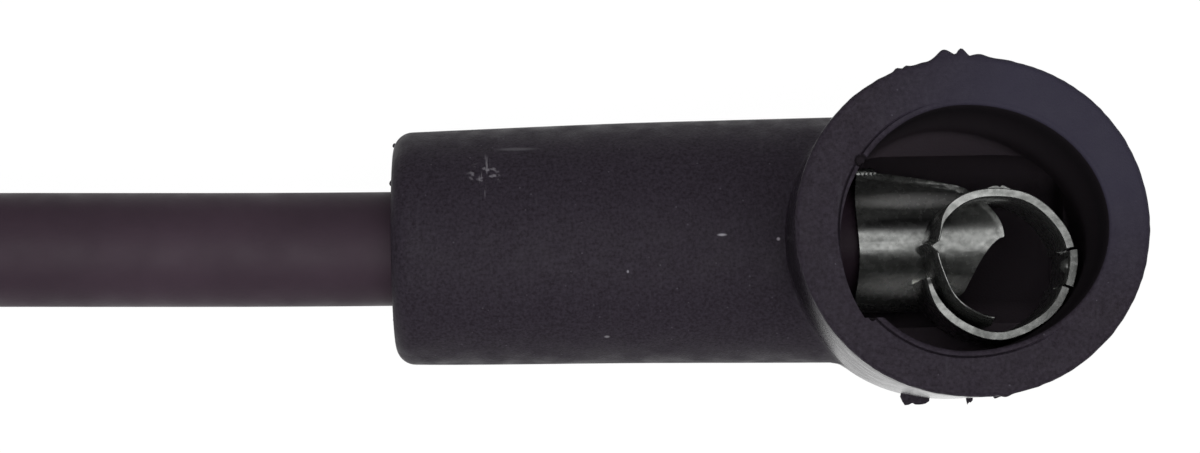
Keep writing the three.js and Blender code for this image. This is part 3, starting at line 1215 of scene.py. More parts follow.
    def notch(self, x: float, y: float, size: float) -> Piece:
        """A nick in the rim at a corner of the keyway.

        Args:
            x: its place from the barrel's axis.
            y: its place across.
            size: its radius.

        Returns:
            The piece to take away.
        """
        top, past = self.mouth, self.mouth + PAST
        profile = [(0.0, top - 0.5), (size * 0.6, top - 0.4), (size, top), (size, past), (0.0, past)]
        return turned("notch", profile, 14, centre=(self.barrel_x + x, y, 0))

    def arm_hollow(self) -> Piece:
        """The chamber for the crimp and the cable's passage, flared at the arm's end face.

        Returns:
            The piece to take away.
        """
        end, start, corner = -self.arm_length, -self.chamber_start, self.chamber_corner
        profile = [
            (0.0, end - PAST),
            (self.passage + self.passage_flare, end - PAST),
            (self.passage + self.passage_flare, end),
            (self.passage, end + 0.8),
            (self.passage, start - self.chamber + self.passage),
            (self.chamber, start),
            *arc((self.chamber - corner, self.chamber_reach - corner), corner, 0, 90, 5),
            (0.0, self.chamber_reach),
        ]
        centre = (self.barrel_x, self.arm_y, self.axis_height)
        return turned("arm_hollow", profile, 120, Axis.X, centre=centre)

    def bored(self, name: str, profile: Profile) -> Piece:
        """A piece turned round the bore's middle and drawn to the bore's lopsided oval.

        Args:
            name: the piece's name.
            profile: points of radius and height.

        Returns:
            The piece.
        """
        oval = self.bore_width / self.bore_height
        centre = (self.barrel_x + self.bore_shift[0], self.bore_shift[1], 0)

        def leaned(place: Vector) -> Vector:
            """Draws the upper and lower parts of the oval towards the arm.

            Args:
                place: a point of the piece.

            Returns:
                Its new place.
            """
            across = abs(place.x - centre[0]) / self.bore_width
            size = math.hypot(across, (place.y - centre[1]) / self.bore_height)
            return place + Vector((self.bore_lean * max(size - across, 0.0), 0, 0))

        return reshaped(turned(name, profile, 240, oval=oval, centre=centre), leaned)

    def flash(self, place: Vector) -> Vector:
        """Raises the lumps of mould flash round the mouth's outer edge, which isn't quite even.

        Args:
            place: a point of the outside, in millimetres.

        Returns:
            Its new place.
        """
        x, y = place.x - self.barrel_x, place.y
        radial = math.hypot(x / self.half_width, y / self.half_height)
        if radial < 0.985 or place.z < self.mouth - 2.2:
            return place
        angle = math.degrees(math.atan2(y, x))
        height = smoothstep(place.z, self.mouth - 1.6, self.mouth - 0.5)
        push = max(lump.at(angle) for lump in self.lumps)
        push += self.rim_waver * noise.noise(Vector((angle * 0.35, place.z * 1.2, 7.0)))
        return place + Vector((x, y, 0)).normalized() * push * height

    def on_arm(self, x: float, y: float) -> Triple:
        """The place on the arm's upper side at a distance from the barrel's axis and across."""
        rise = math.sqrt(self.arm_radius(x) ** 2 - (y - self.arm_middle(x)) ** 2)
        return (self.barrel_x + x, y, self.axis_height + rise)

    def marks(self) -> tuple[Mark, ...]:
        """A scuff, scratches and stuck grains on the arm, which are wear; painted light, lighter and bluer,
        on the ring's side away from the arm; and painted shade on the barrel's wall in the crease.

        Returns:
            The marks.
        """
        scuff = self.on_arm(-27.9, 4.4)
        ring = (self.barrel_x + 7, 6.5, self.mouth)
        crease = (self.barrel_x - 9.6, -1.8, self.mouth - 8.2)
        return (
            Mark(scuff, (1.3, 0.9, 2.0), strokes=(0.9, 1.1, 1.0)),
            Mark(scuff, (0.4, 1.7, 2.0), strokes=(3.0, 0.3, 0.3)),
            # Painted light: the ring lighter and bluer on its side away from the arm.
            Mark(ring, (13.0, 11.0, 2.0), tone=(0.031, 0.028, 0.044)),
            # Painted shade on the barrel's wall in the crease beside the arm.
            Mark(crease, (2.6, 9.5, 8.0), tone=(0.004, 0.003, 0.004)),
            Mark(self.on_arm(-26.0, 6.0), (1.5, 0.14, 0.5), tone=(0.07, 0.065, 0.075)),
            Mark(self.on_arm(-13.75, 0.5), (0.34, 0.1, 0.3), tone=(0.26, 0.25, 0.28)),
            Mark(self.on_arm(-10.4, 0.2), (0.13, 0.13, 0.3), tone=(0.22, 0.2, 0.23)),
            Mark(self.on_arm(-19.4, -1.6), (0.09, 0.12, 0.3), tone=(0.2, 0.19, 0.22)),
            Mark(self.on_arm(-20.7, -5.4), (0.2, 0.09, 0.4), tone=(0.18, 0.17, 0.19)),
        )

    def on_wall(self, turn: float, off: float) -> Vector:
        """A point of the barrel's section at an angle in radians, moved out by off."""
        x, y = (self.half_width + off) * math.cos(turn), (self.half_height + off) * math.sin(turn)
        return self.leaned(Vector((self.barrel_x + x, y, 0))).xy

    def flake(self, flake: Flake) -> Piece:
        """A thin ragged film that sticks out of the barrel's wall.

        Args:
            flake: where it is and how large.

        Returns:
            The film, with its root inside the wall.
        """
        steps, root = 9, -0.5
        inner, outer = [], []
        for i in range(steps + 1):
            share = 2 * i / steps - 1
            turn = math.radians(flake.angle + share * flake.width)
            ragged = 0.8 + 0.5 * noise.noise(Vector((i * 0.61, flake.angle, 0.0)))
            reach = flake.reach * (1 - share**8) * (1 - 0.35 * (share + 1)) * ragged
            inner.append(self.on_wall(turn, root))
            outer.append(self.on_wall(turn, reach))
        return prism("flake", [*inner, *reversed(outer)], flake.height, flake.height + self.film)

    def burr(self, past: float, away: float, size: float) -> Piece:
        """A nub of flash on the arm's end face, at the mould's parting line.

        Args:
            past: how far inside the end face its middle lies.
            away: how far across from the arm's middle.
            size: its radius.

        Returns:
            The nub.
        """
        centre = (self.barrel_x - self.arm_length + past, self.arm_y + away, self.axis_height + 0.6)
        nub = turned("burr", arc((0, 0), size, -90, 90, 8), 14, centre=centre)
        return reshaped(nub, lambda p: p + 0.25 * size * wobble(p * 4.0))

    def build(self, finish: Material) -> Piece:
        """Makes and dresses the boot.

        Args:
            finish: the rubber.

        Returns:
            The boot.
        """
        boot = combined(self.barrel(), self.arm(), Cut.JOIN)
        reshaped(boot, self.filleted)
        reshaped(boot, self.flash)
        combined(boot, self.hollow(), Cut.TAKE)
        for flake in self.flakes:
            combined(boot, self.flake(flake), Cut.JOIN)
        for burr in self.burrs:
            combined(boot, self.burr(*burr), Cut.JOIN)
        return dressed(boot, finish, Slot.BOOT, "distributor_boot")


@dataclass(frozen=True)
class Lap:
    """One lap of a rolled strip: its ends, how its wall bends, and how its edge is worn and drops.

    Ends and widths are in degrees.
    """

    start: float
    end: float
    hook: float = 0.0
    hook_width: float = 5.0
    close_in: float = 0.0
    close_width: float = 22.0
    flare: float = 0.0
    flare_width: float = 35.0
    bend_in: float = 0.0
    bend_width: float = 20.0
    thinned: float = 0.0
    thin_start: float = 0.0
    thin_start_width: float = 30.0
    thin_end: float = 0.0
    thin_end_width: Pair = (32.0, 8.0)
    fall: float = 0.5
    nick: float = 0.14
    nick_width: float = 6.0
    drop_size: float = 0.0
    drop_width: float = 45.0

    def inset(self, angle: float) -> float:
        """How far the lap lies inside the full roll.

        Args:
            angle: the place on the lap, in degrees.

        Returns:
            The inset.
        """
        from_start = angle - self.start
        past_hook = max(from_start - self.hook_width / 2, 0)
        hooked = self.hook * smoothstep(from_start, 0, self.hook_width)
        closed = self.close_in * (1 - math.exp(-past_hook / self.close_width))
        flared = self.flare * (1 - smoothstep(from_start, 0, self.flare_width))
        bent = self.bend_in * smoothstep(angle, self.end - self.bend_width, self.end)
        return hooked + closed - flared + bent

    def thin(self, angle: float) -> float:
        """How far the edge is worn to a blade with its outer side falling away.

        Args:
            angle: the place on the lap, in degrees.

        Returns:
            A share from 0 to 1.
        """
        first, last = self.thin_end_width
        at_start = self.thin_start * (1 - smoothstep(angle, self.start, self.start + self.thin_start_width))
        at_end = self.thin_end * smoothstep(angle, self.end - first, self.end - last)
        return max(self.thinned, at_start, at_end)

    def drop(self, angle: float) -> float:
        """How far the edge lies below the mouth's level near the lap's ends.

        Args:
            angle: the place on the lap, in degrees.

        Returns:
            The drop.
        """
        start = 1 - smoothstep(angle, self.start, self.start + self.nick_width)
        end = smoothstep(angle, self.end - self.drop_width, self.end)
        return self.nick * start + self.drop_size * end


@dataclass
class ElbowTerminal:
    """The stamped terminal: a crimp rolled round the cable, and a rolled socket standing on its nose."""

    barrel_x: float
    top: float
    socket_x: float = 2.3
    socket_y: float = -1.62
    radius: float = 4.46
    height: float = 10.4
    sheet: float = 0.5
    laps: tuple[Lap, Lap] = (
        Lap(191.0, 518.5, flare=0.17, bend_in=0.3, thin_start=0.6, thin_end=1.0, fall=1.4),
        Lap(524.0, 625.0, hook=0.38, close_in=0.52, thinned=1.0, fall=1.7, drop_size=0.35),
    )
    slots: Pair = (10.2, -19.6)
    slot_width: float = 0.17
    slot_reach: float = 1.2
    slot_depth: float = 5.0
    finger_spring: float = 0.17
    crimp_radius: float = 4.35
    crimp_start: float = -5.46
    crimp_y: float = 0.3
    axis_height: float = 7.9
    nose_tip: float = 3.36
    blade: float = 0.13
    broken_edge: float = 0.09
    ledge_width: float = 0.42
    beads: tuple[Pair, ...] = ((90.0, -0.03), (58.0, 0.05), (122.0, 0.05))
    bead_width: float = 4.5
    seam: float = 0.5

    def painted_reflection_bands(self) -> tuple[Mark, ...]:
        """Two painted highlight bands along the crimp and a painted dark band between them, which stand in
        for reflections.

        Returns:
            The bands.
        """
        x, y, height = self.barrel_x - 2.2, self.crimp_y, self.axis_height + self.crimp_radius
        # Painted highlights above and below the crimp's middle, and painted shade as the dark band between.
        return (
            Mark((x, y + 2.3, height), (4.5, 0.6, 4.0), tone=(0.72, 0.72, 0.7)),
            Mark((x, y - 2.9, height), (4.5, 0.85, 5.0), tone=(0.98, 0.98, 0.95)),
            Mark((x, y + 0.84, height), (6.0, 0.7, 4.0), tone=(0.03, 0.03, 0.03)),
        )

    def around(self, reach: float, turn: float) -> Pair:
        """The point at a reach from the socket's axis, in a direction in radians."""
        x, y = self.barrel_x + self.socket_x, self.socket_y
        return (x + reach * math.cos(turn), y + reach * math.sin(turn))

    def roll_point(self, lap: Lap, angle: float, offset: float) -> Pair:
        """A point on one lap, seen from the mouth.

        Args:
            lap: the lap.
            angle: the place on the lap, in degrees.
            offset: how far outside the sheet's middle.

        Returns:
            The point.
        """
        first, last = self.slots
        wave = 0.05 * math.sin(math.radians(angle * 3 + 40)) + 0.03 * math.sin(math.radians(angle * 7))
        wave += self.finger_spring if last < (angle + 180) % 360 - 180 < first else 0.0
        reach = self.radius - self.sheet / 2 - lap.inset(angle) + offset + wave
        return self.around(reach, math.radians(angle))

    def foot(self, x: float, y: float) -> float:
        """The lower edge of the socket's wall: on the crimp's crown, or free beside it.

        Args:
            x: a place on the wall.
            y: its place across.

        Returns:
            The edge's height.
        """
        away = y - self.crimp_y
        inner = self.crimp_radius - self.sheet * 0.6
        if abs(away) < inner and x - self.barrel_x < self.nose(away):
            return max(self.axis_height + math.sqrt(inner**2 - away**2), self.top - self.height)
        return self.top - self.height

    def nose(self, away: float) -> float:
        """How far the crimp's upper half reaches along X.

        Args:
            away: the distance across from the crimp's middle.

        Returns:
            The reach, from the barrel's axis.
        """
        side = abs(away)
        if away > 0:
            return self.nose_tip - 0.25 * side**2 - 3.0 * max(side - 3.0, 0) ** 1.5
        return self.nose_tip - 1.15 * side**0.6 - 1.3 * max(side - 3.2, 0) ** 1.5

    def strip_section(self, lap: Lap, angle: float) -> list[Pair]:
        """The strip's section, with the edges of its mouth broken.

        Args:
            lap: the lap.
            angle: the place on the lap, in degrees.

        Returns:
            The corners, as offset from the sheet's middle and height.
        """
        half, edge, thin = self.sheet / 2, self.broken_edge, lap.thin(angle)
        foot = self.foot(*self.roll_point(lap, angle, 0))
        top = self.top - lap.drop(angle) + 0.05 * math.sin(math.radians(angle * 5))
        rim = self.sheet * (1 - thin) + self.blade * thin
        middle = (foot + top) / 2
        return [
            (-half, foot),
            (-half, middle),
            (-half, top - edge),
            (-half + edge * 0.5, top),
            (-half + rim - edge * 0.5, top),
            (-half + rim, top - edge * 0.6),
            (half, top - edge * 0.6 - lap.fall * thin - 0.15),
            (half, middle),
            (half, foot),
        ]

    def strip(self, lap: Lap) -> Piece:
        """One lap of the rolled socket.

        Args:
            lap: where it starts and ends, and how it bends inwards.

        Returns:
            The strip, standing on the crimp.
        """
        steps = round((lap.end - lap.start) * 1.2)
        vertices: list[Triple] = []
        for i in range(steps + 1):
            angle = lap.start + (lap.end - lap.start) * i / steps
            section = self.strip_section(lap, angle)
            vertices += [(*self.roll_point(lap, angle, offset), height) for offset, height in section]
        count = len(section)
        ends = [tuple(range(count)), tuple(range(steps * count, steps * count + count))]
        return mesh_object("elbow_terminal", vertices, [*grid_faces(steps + 1, count), *ends])

    def socket(self) -> Piece:
        """The rolled socket: an outer lap, cracked from the inner one, with a finger cut in its side.

        Returns:
            The socket.
        """
        outer, inner = self.laps
        socket = self.strip(outer)
        for angle in self.slots:
            combined(socket, self.slot(angle), Cut.TAKE)
        combined(socket, self.dimple(), Cut.JOIN)
        combined(socket, self.lug(), Cut.JOIN)
        return combined(socket, self.strip(inner), Cut.JOIN)

    def dimple(self) -> Piece:
        """The pressed dimple inside the finger.

        Returns:
            The dimple.
        """
        turn = math.radians(sum(self.slots) / 2 + 2)
        reach = self.radius - self.sheet + self.finger_spring + 0.12
        centre = (*self.around(reach, turn), self.top - 1.5)
        return turned("dimple", arc((0, 0), 0.52, -90, 90, 10), 20, centre=centre)

    def lug(self) -> Piece:
        """The sheared burr that stands out of the socket's far side, below its mouth.

        Returns:
            The burr.
        """
        steps, middle, half_width, size = 12, 86, 10, 0.17
        inner, outer = [], []
        for i in range(steps + 1):
            share = 2 * i / steps - 1
            turn = math.radians(middle + share * half_width)
            ragged = size * (1 - share**4) * (1 + 0.8 * noise.noise(Vector((i * 0.9, 3.0, 0.0))))
            inner.append(self.around(self.radius - 0.3, turn))
            outer.append(self.around(self.radius + ragged, turn))
        return prism("lug", [*inner, *reversed(outer)], self.top - 2.4, self.top - 1.8)

    def slot(self, angle: float) -> Piece:
        """A narrow cut down from the socket's mouth.

        Args:
            angle: where it is round the socket, in degrees.

        Returns:
            The piece to take away.
        """
        turn, half, reach = math.radians(angle), self.slot_width / 2, self.slot_reach
        outline = []
        for along, across in ((-reach, -half), (reach, -half), (reach, half), (-reach, half)):
            x, y = self.around(self.radius - self.sheet / 2 + along, turn)
            outline.append((x - across * math.sin(turn), y + across * math.cos(turn)))
        return prism("slot", outline, self.top - self.slot_depth, self.top + PAST)

    def ledge(self, x: float, away: float) -> float:
        """How far the crimp's wall is turned up beside its cut edge, on the far side.

        Args:
            x: a place along the crimp, from the barrel's axis.
            away: its distance across from the crimp's middle.

        Returns:
            The rise.
        """
        if away < 0.5:
            return 0.0
        steps, radius = 12, self.crimp_radius
        near = next((k for k in range(steps) if self.nose(away + self.ledge_width * k / steps) < x), steps)
        back = self.ledge_width * (1 - near / steps)
        if back <= 0:
            return 0.0
        crown, here = (math.sqrt(radius**2 - min(side, radius) ** 2) for side in (away - back, away))
        return crown - here

    def crimp_row(self, radius: float, turn: float, along: int) -> list[Triple]:
        """A line of points along the crimp, from its back to its cut end.

        Args:
            radius: the sheet's outer or inner radius.
            turn: the place round the crimp, in degrees.
            along: how many steps.

        Returns:
            The points.
        """
        angle = math.radians(turn)
        away, rise = math.cos(angle), math.sin(angle)
        formed = radius + sum(size * bell(turn, at, self.bead_width) for at, size in self.beads)
        if rise < 0:
            reach = self.nose(math.copysign(self.crimp_radius, away)) + 1.5 * rise
        else:
            reach = self.nose(away * self.crimp_radius)
        reach = max(reach, self.crimp_start + 1.2)
        start = self.crimp_start + 0.1 * math.sin(angle * 4 + 0.6)
        row = []
        for j in range(along + 1):
            x = start + (reach - start) * j / along
            raised = self.ledge(x, away * self.crimp_radius) if rise > 0 else 0.0
            height = self.axis_height + rise * formed + raised
            row.append((self.barrel_x + x, self.crimp_y + away * formed, height))
        return row

    def crimp(self) -> Piece:
        """The crimp: sheet rolled round the cable, its seam underneath and its far end cut to a nose.

        Returns:
            The crimp.
        """
        around, along = 300, 60
        half = math.degrees(math.asin(self.seam / 2 / self.crimp_radius))
        turns = [-90 + half + (360 - 2 * half) * i / around for i in range(around + 1)]
        radii = (self.crimp_radius, self.crimp_radius - self.sheet)
        rows = [self.crimp_row(radius, turn, along) for radius in radii for turn in turns]
        vertices = [point for row in rows for point in row]
        outer, inner = np.arange(len(vertices)).reshape(2, around + 1, along + 1).tolist()
        faces = []
        for i in range(around):
            for j in range(along):
                for shell in (outer, inner):
                    faces.append((shell[i][j], shell[i + 1][j], shell[i + 1][j + 1], shell[i][j + 1]))
            for j in (0, along):
                faces.append((outer[i][j], outer[i + 1][j], inner[i + 1][j], inner[i][j]))
        for j in range(along):
            for i in (0, around):
                faces.append((outer[i][j], outer[i][j + 1], inner[i][j + 1], inner[i][j]))
        return mesh_object("crimp", vertices, faces)

    def build(self, finish: Material) -> Piece:
        """Makes and dresses the terminal."""
        terminal = combined(self.socket(), self.crimp(), Cut.JOIN)
        return dressed(terminal, finish, Slot.SHEET, "distributor_terminal")


@dataclass
class CoreEnd:
    """The bared core, out of the jacket and bent over towards the crimp's wall."""

    name: str
    node: str
    start: Triple
    diameter: float = 1.8
    drop: float = 2.65

    def build(self, finish: Material) -> Piece:
        """Makes and dresses the strand.

        Args:
            finish: the fibre.

        Returns:
            The strand.
        """
        bend = self.diameter * 0.9
        turn = [(math.sin(a), 1 - math.cos(a)) for a in np.linspace(0, math.pi / 2, 13)]
        path = [(-0.15, 0, 0), *((x * bend, 0, -z * bend) for x, z in turn)]
        path += [(bend, 0, -bend - (self.drop - bend) * share) for share in (0.35, 0.7, 1.0)]
        places = np.array(path) + np.array(self.start)
        strand = swept(self.name, places, lambda i: round_section(self.diameter / 2, 20), up=(0, 1, 0))
        return dressed(strand, finish, Slot.CORE, self.node)


@dataclass
class Cable:
    """The jacketed cable, from one crimp through the coil to the other."""

    exit_x: float
    start_x: float
    arm_y: float
    axis_height: float
    plug_x: float
    plug_y: float
    plug_height: float
    diameter: float = 7.0
    sleeve: float = 1.25
    cut_edge: float = 0.25
    run: tuple[Triple, ...] = (
        (8.0, 0.06, 0.0), (16.0, 0.17, 0.0), (24.0, 0.29, 0.0), (29.6, 0.36, 0.3),
        (35.2, 0.41, 1.3), (40.8, 0.5, 2.7), (46.4, 0.56, 3.75), (52.0, 0.59, 4.3),
    )
    coil_x: float = -84.0
    coil_y: float = 35.894
    coil_radius: float = 35.0
    coil_pitch: float = 15.0
    turns: float = 2.5
    climbs: Pair = (250.0, 318.0)
    tie_angle: float = 150.0
    tie_lift: float = 1.15
    tie_width: float = 45.0
    descent: tuple[Pair, ...] = ((7.0, 0.03), (14.0, 0.16), (20.0, 0.42), (26.0, 0.74), (32.0, 0.95))
    plug_run: tuple[float, ...] = (0.0, 6.0, 12.0, 18.2)
    sides: int = 48
    step: float = 1.6

    def lift(self, angle: float) -> float:
        """How high a turn's middle lies above the surface, with its climbs and its lift over the tie.

        Args:
            angle: degrees from where the cable comes in.

        Returns:
            The height.
        """
        start, end = self.climbs
        climbs = range(math.ceil(self.turns) - 1)
        layers = sum(smoothstep(angle, start + 360 * k, end + 360 * k) for k in climbs)
        from_tie = (angle - self.tie_turn() + 180) % 360 - 180
        over_tie = self.tie_lift * (0.5 + 0.5 * math.cos(math.pi * min(abs(from_tie) / self.tie_width, 1)))
        return self.diameter * (0.5 + layers) + over_tie

    def tie_turn(self) -> float:
        """The tie's place, in degrees from where the cable comes in."""
        return (270 - self.tie_angle) % 360

    def coil_point(self, angle: float) -> Triple:
        """A point on the coil's turns, at degrees from where the cable comes in."""
        along, across = self.coil_radius * math.sin(math.radians(angle)), math.cos(math.radians(angle))
        return (self.coil_x - along, self.coil_y - self.coil_radius * across, self.lift(angle))

    def route(self) -> list[Triple]:
        """The cable's middle line: straight out of the arm, down, round the coil and into the plug boot.

        Returns:
            The points that the line goes through.
        """
        y, z, out = self.arm_y, self.axis_height, self.exit_x
        inside = (self.start_x - out) / 4
        run = [*((self.start_x - inside * k, y, z) for k in range(4)), (out, y, z)]
        run += [(out - past, y + across, z - down) for past, across, down in self.run]
        count = round(self.turns * 360 / self.coil_pitch)
        coil = [self.coil_point(self.coil_pitch * i) for i in range(count + 1)]
        top = coil[-1][2]
        fall = top - self.plug_height
        tail = [(self.coil_x + past, self.plug_y, top - fall * share) for past, share in self.descent]
        tail += [(self.plug_x + past, self.plug_y, self.plug_height) for past in self.plug_run]
        return run + coil + tail

    def centreline(self) -> np.ndarray:
        """The route as a smooth line with points one step apart.

        Returns:
            The points.
        """
        points = [Vector(p) for p in self.route()]
        chords = 8
        smooth: list[Vector] = []
        for i in range(len(points) - 1):
            before = points[max(i - 1, 0)]
            here, there = points[i], points[i + 1]
            after = points[min(i + 2, len(points) - 1)]
            reach = (there - here).length
            start = (there - before).normalized() * reach
            end = (after - here).normalized() * reach
            for k in range(chords):
                t = k / chords
                smooth.append(
                    here * (2 * t**3 - 3 * t**2 + 1)
                    + start * (t**3 - 2 * t**2 + t)
                    + there * (3 * t**2 - 2 * t**3)
                    + end * (t**3 - t**2)
                )
        smooth.append(points[-1])
        line = np.array([tuple(p) for p in smooth])
        line[:, 2] = np.maximum(line[:, 2], self.diameter / 2)
        along = np.concatenate([[0.0], np.cumsum(np.linalg.norm(np.diff(line, axis=0), axis=1))])
        places = np.linspace(0, along[-1], round(along[-1] / self.step) + 1)
        return np.stack([np.interp(places, along, line[:, c]) for c in range(3)], axis=1)

    def build(self, finish: Material, on_it: Sequence[Piece]) -> Piece:
        """Args:
            finish: the jacket's material.
            on_it: the pieces on the cable; not used.

        Returns:
            The cable.
        """
        line = self.centreline()
        ends = (0, len(line) - 1)

        def section(i: int) -> np.ndarray:
            """The jacket's section, a touch smaller at its cut ends."""
            return round_section(self.diameter / 2 - (self.cut_edge if i in ends else 0.0), self.sides)

        cable = swept("cable", line, section)
        dressed(cable, finish, Slot.JACKET, "cable_run", "cable_coil", "cable_tail")
        return cable


@dataclass
class CoilTie:
    """The strap round the coil's turns."""

    coil_x: float
    coil_y: float
    coil_radius: float
    cable: float
    angle: float
    layers: int = 3
    thickness: float = 0.8
    width: float = 4.0
    bevel: float = 0.2
    channel: float = 0.15
    lift: float = 1.2
    gap: float = 0.3
    slack: float = 0.8
    corner: float = 2.5

    def loop(self) -> np.ndarray:
        """The strap's middle line in the plane across the coil.

        Returns:
            Its points, as out and up.
        """
        reach = self.cable / 2 + self.gap + self.thickness / 2 - self.corner
        low = self.thickness / 2 + self.corner
        top = self.cable * self.layers + self.lift + self.thickness * 0.5 + self.slack - self.corner
        corners = ((reach, low, -90), (reach, top, 0), (-reach, top, 90), (-reach, low, 180))
        points: list[Pair] = []
        for out, up, start in corners:
            points += arc((out, up), self.corner, start, start + 90, 8)
        return np.array(stretched([*points, points[0]], 0.5))[:-1]

    def build(self, finish: Material) -> Piece:
        """Makes and dresses the strap, with a shallow channel along its outside.

        Args:
            finish: the strap's material.

        Returns:
            The strap.
        """
        loop = self.loop()
        ahead = np.roll(loop, -1, axis=0) - np.roll(loop, 1, axis=0)
        ahead /= np.linalg.norm(ahead, axis=1)[:, None]
        outward = np.stack([ahead[:, 1], -ahead[:, 0]], axis=1)
        turn = math.radians(self.angle)
        radial = np.array([math.cos(turn), math.sin(turn), 0])
        tangent = np.array([-math.sin(turn), math.cos(turn), 0])
        centre = np.array([self.coil_x, self.coil_y, 0]) + radial * self.coil_radius
        half, thick = self.width / 2, self.thickness / 2
        edge, wall, floor = half - self.bevel, half * 0.5, thick - self.channel
        section = [
            (-edge, -thick), (edge, -thick), (half, 0), (edge, thick), (wall, thick),
            (wall, floor), (-wall, floor), (-wall, thick), (-edge, thick), (-half, 0),
        ]
        vertices = []
        for (out, up), (nr, nz) in zip(loop, outward):
            for across, off in section:
                rise = np.array([0, 0, up + nz * off])
                vertices.append(tuple(centre + radial * (out + nr * off) + tangent * across + rise))
        strap = mesh_object("coil_strap", vertices, grid_faces(len(loop), len(section), closed=True))
        return dressed(strap, finish, Slot.STRAP, "coil_tie")


@dataclass
class PlugBoot:
    """The straight boot at the spark plug end."""

    x: float
    y: float
    z: float
    length: float = 62.0
    end_radius: float = 6.4
    end_round: float = 0.5
    rib_height: float = 0.8
    rib_width: float = 1.8
    rib_pitch: float = 4.0
    ribs: int = 3
    neck_end: float = 15.0
    body_start: float = 24.0
    body_radius: float = 8.9
    bead_width: float = 6.0
    bead_height: float = 1.5
    bore: float = 7.2
    bore_depth: float = 36.0
    lands: Pair = (8.0, 14.0)
    land_height: float = 0.3
    chamber: float = 5.3
    chamber_start: float = 13.0
    passage: float = 3.8

    def outside(self) -> list[Pair]:
        """The outer profile, from the cable's end to the mouth.

        Returns:
            Points of radius and place along the boot.
        """
        rib_steps, neck_steps = 10, 18
        profile = arc((self.end_radius - self.end_round, self.end_round), self.end_round, -90, 0, 4)
        for i in range(self.ribs):
            start = self.rib_pitch * (i + 0.5)
            for k in range(rib_steps + 1):
                share = k / rib_steps
                swell = self.rib_height * math.sin(math.pi * share) ** 0.8
                profile.append((self.end_radius + swell, start + self.rib_width * share))
        for k in range(neck_steps + 1):
            share = k / neck_steps
            radius = self.end_radius + (self.body_radius - self.end_radius) * smoothstep(share, 0, 1)
            profile.append((radius, self.neck_end + (self.body_start - self.neck_end) * share))
        bead, radius = self.length - self.bead_width, self.body_radius + self.bead_height
        profile += arc((self.body_radius + 0.9, bead - self.bead_height - 0.4), 0.9, 180, 120, 4)
        profile += arc((radius - 1.0, bead + 1.0), 1.0, -45, 0, 5)
        profile += arc((radius - 0.6, self.length - 0.6), 0.6, 0, 90, 6)
        return profile

    def inside(self) -> list[Pair]:
        """The inner profile, from the mouth back to the cable's end.

        Returns:
            Points of radius and place along the boot.
        """
        end = self.length - self.bore_depth
        profile = [(self.bore + 0.5, self.length), (self.bore, self.length - 1.0)]
        for depth in self.lands:
            place, land = self.length - depth, self.bore - self.land_height
            profile += [(self.bore, place + 1), (land, place), (self.bore, place - 1)]
        profile += [
            (self.bore, end),
            (self.chamber, end),
            (self.chamber, self.chamber_start),
            (self.passage, self.chamber_start - self.chamber + self.passage),
            (self.passage, 0.6),
            (self.passage + 0.4, 0.0),
        ]
        return profile

    def build(self, finish: Material) -> Piece:
        """Makes and dresses the boot.

        Args:
            finish: the rubber.

        Returns:
            The boot.
        """
        profile = stretched([*self.outside(), *self.inside()], 1.2)
        boot = turned("straight_boot", profile, 160, Axis.X, centre=(self.x, self.y, self.z))
        return dressed(boot, finish, Slot.BOOT, "plug_boot")


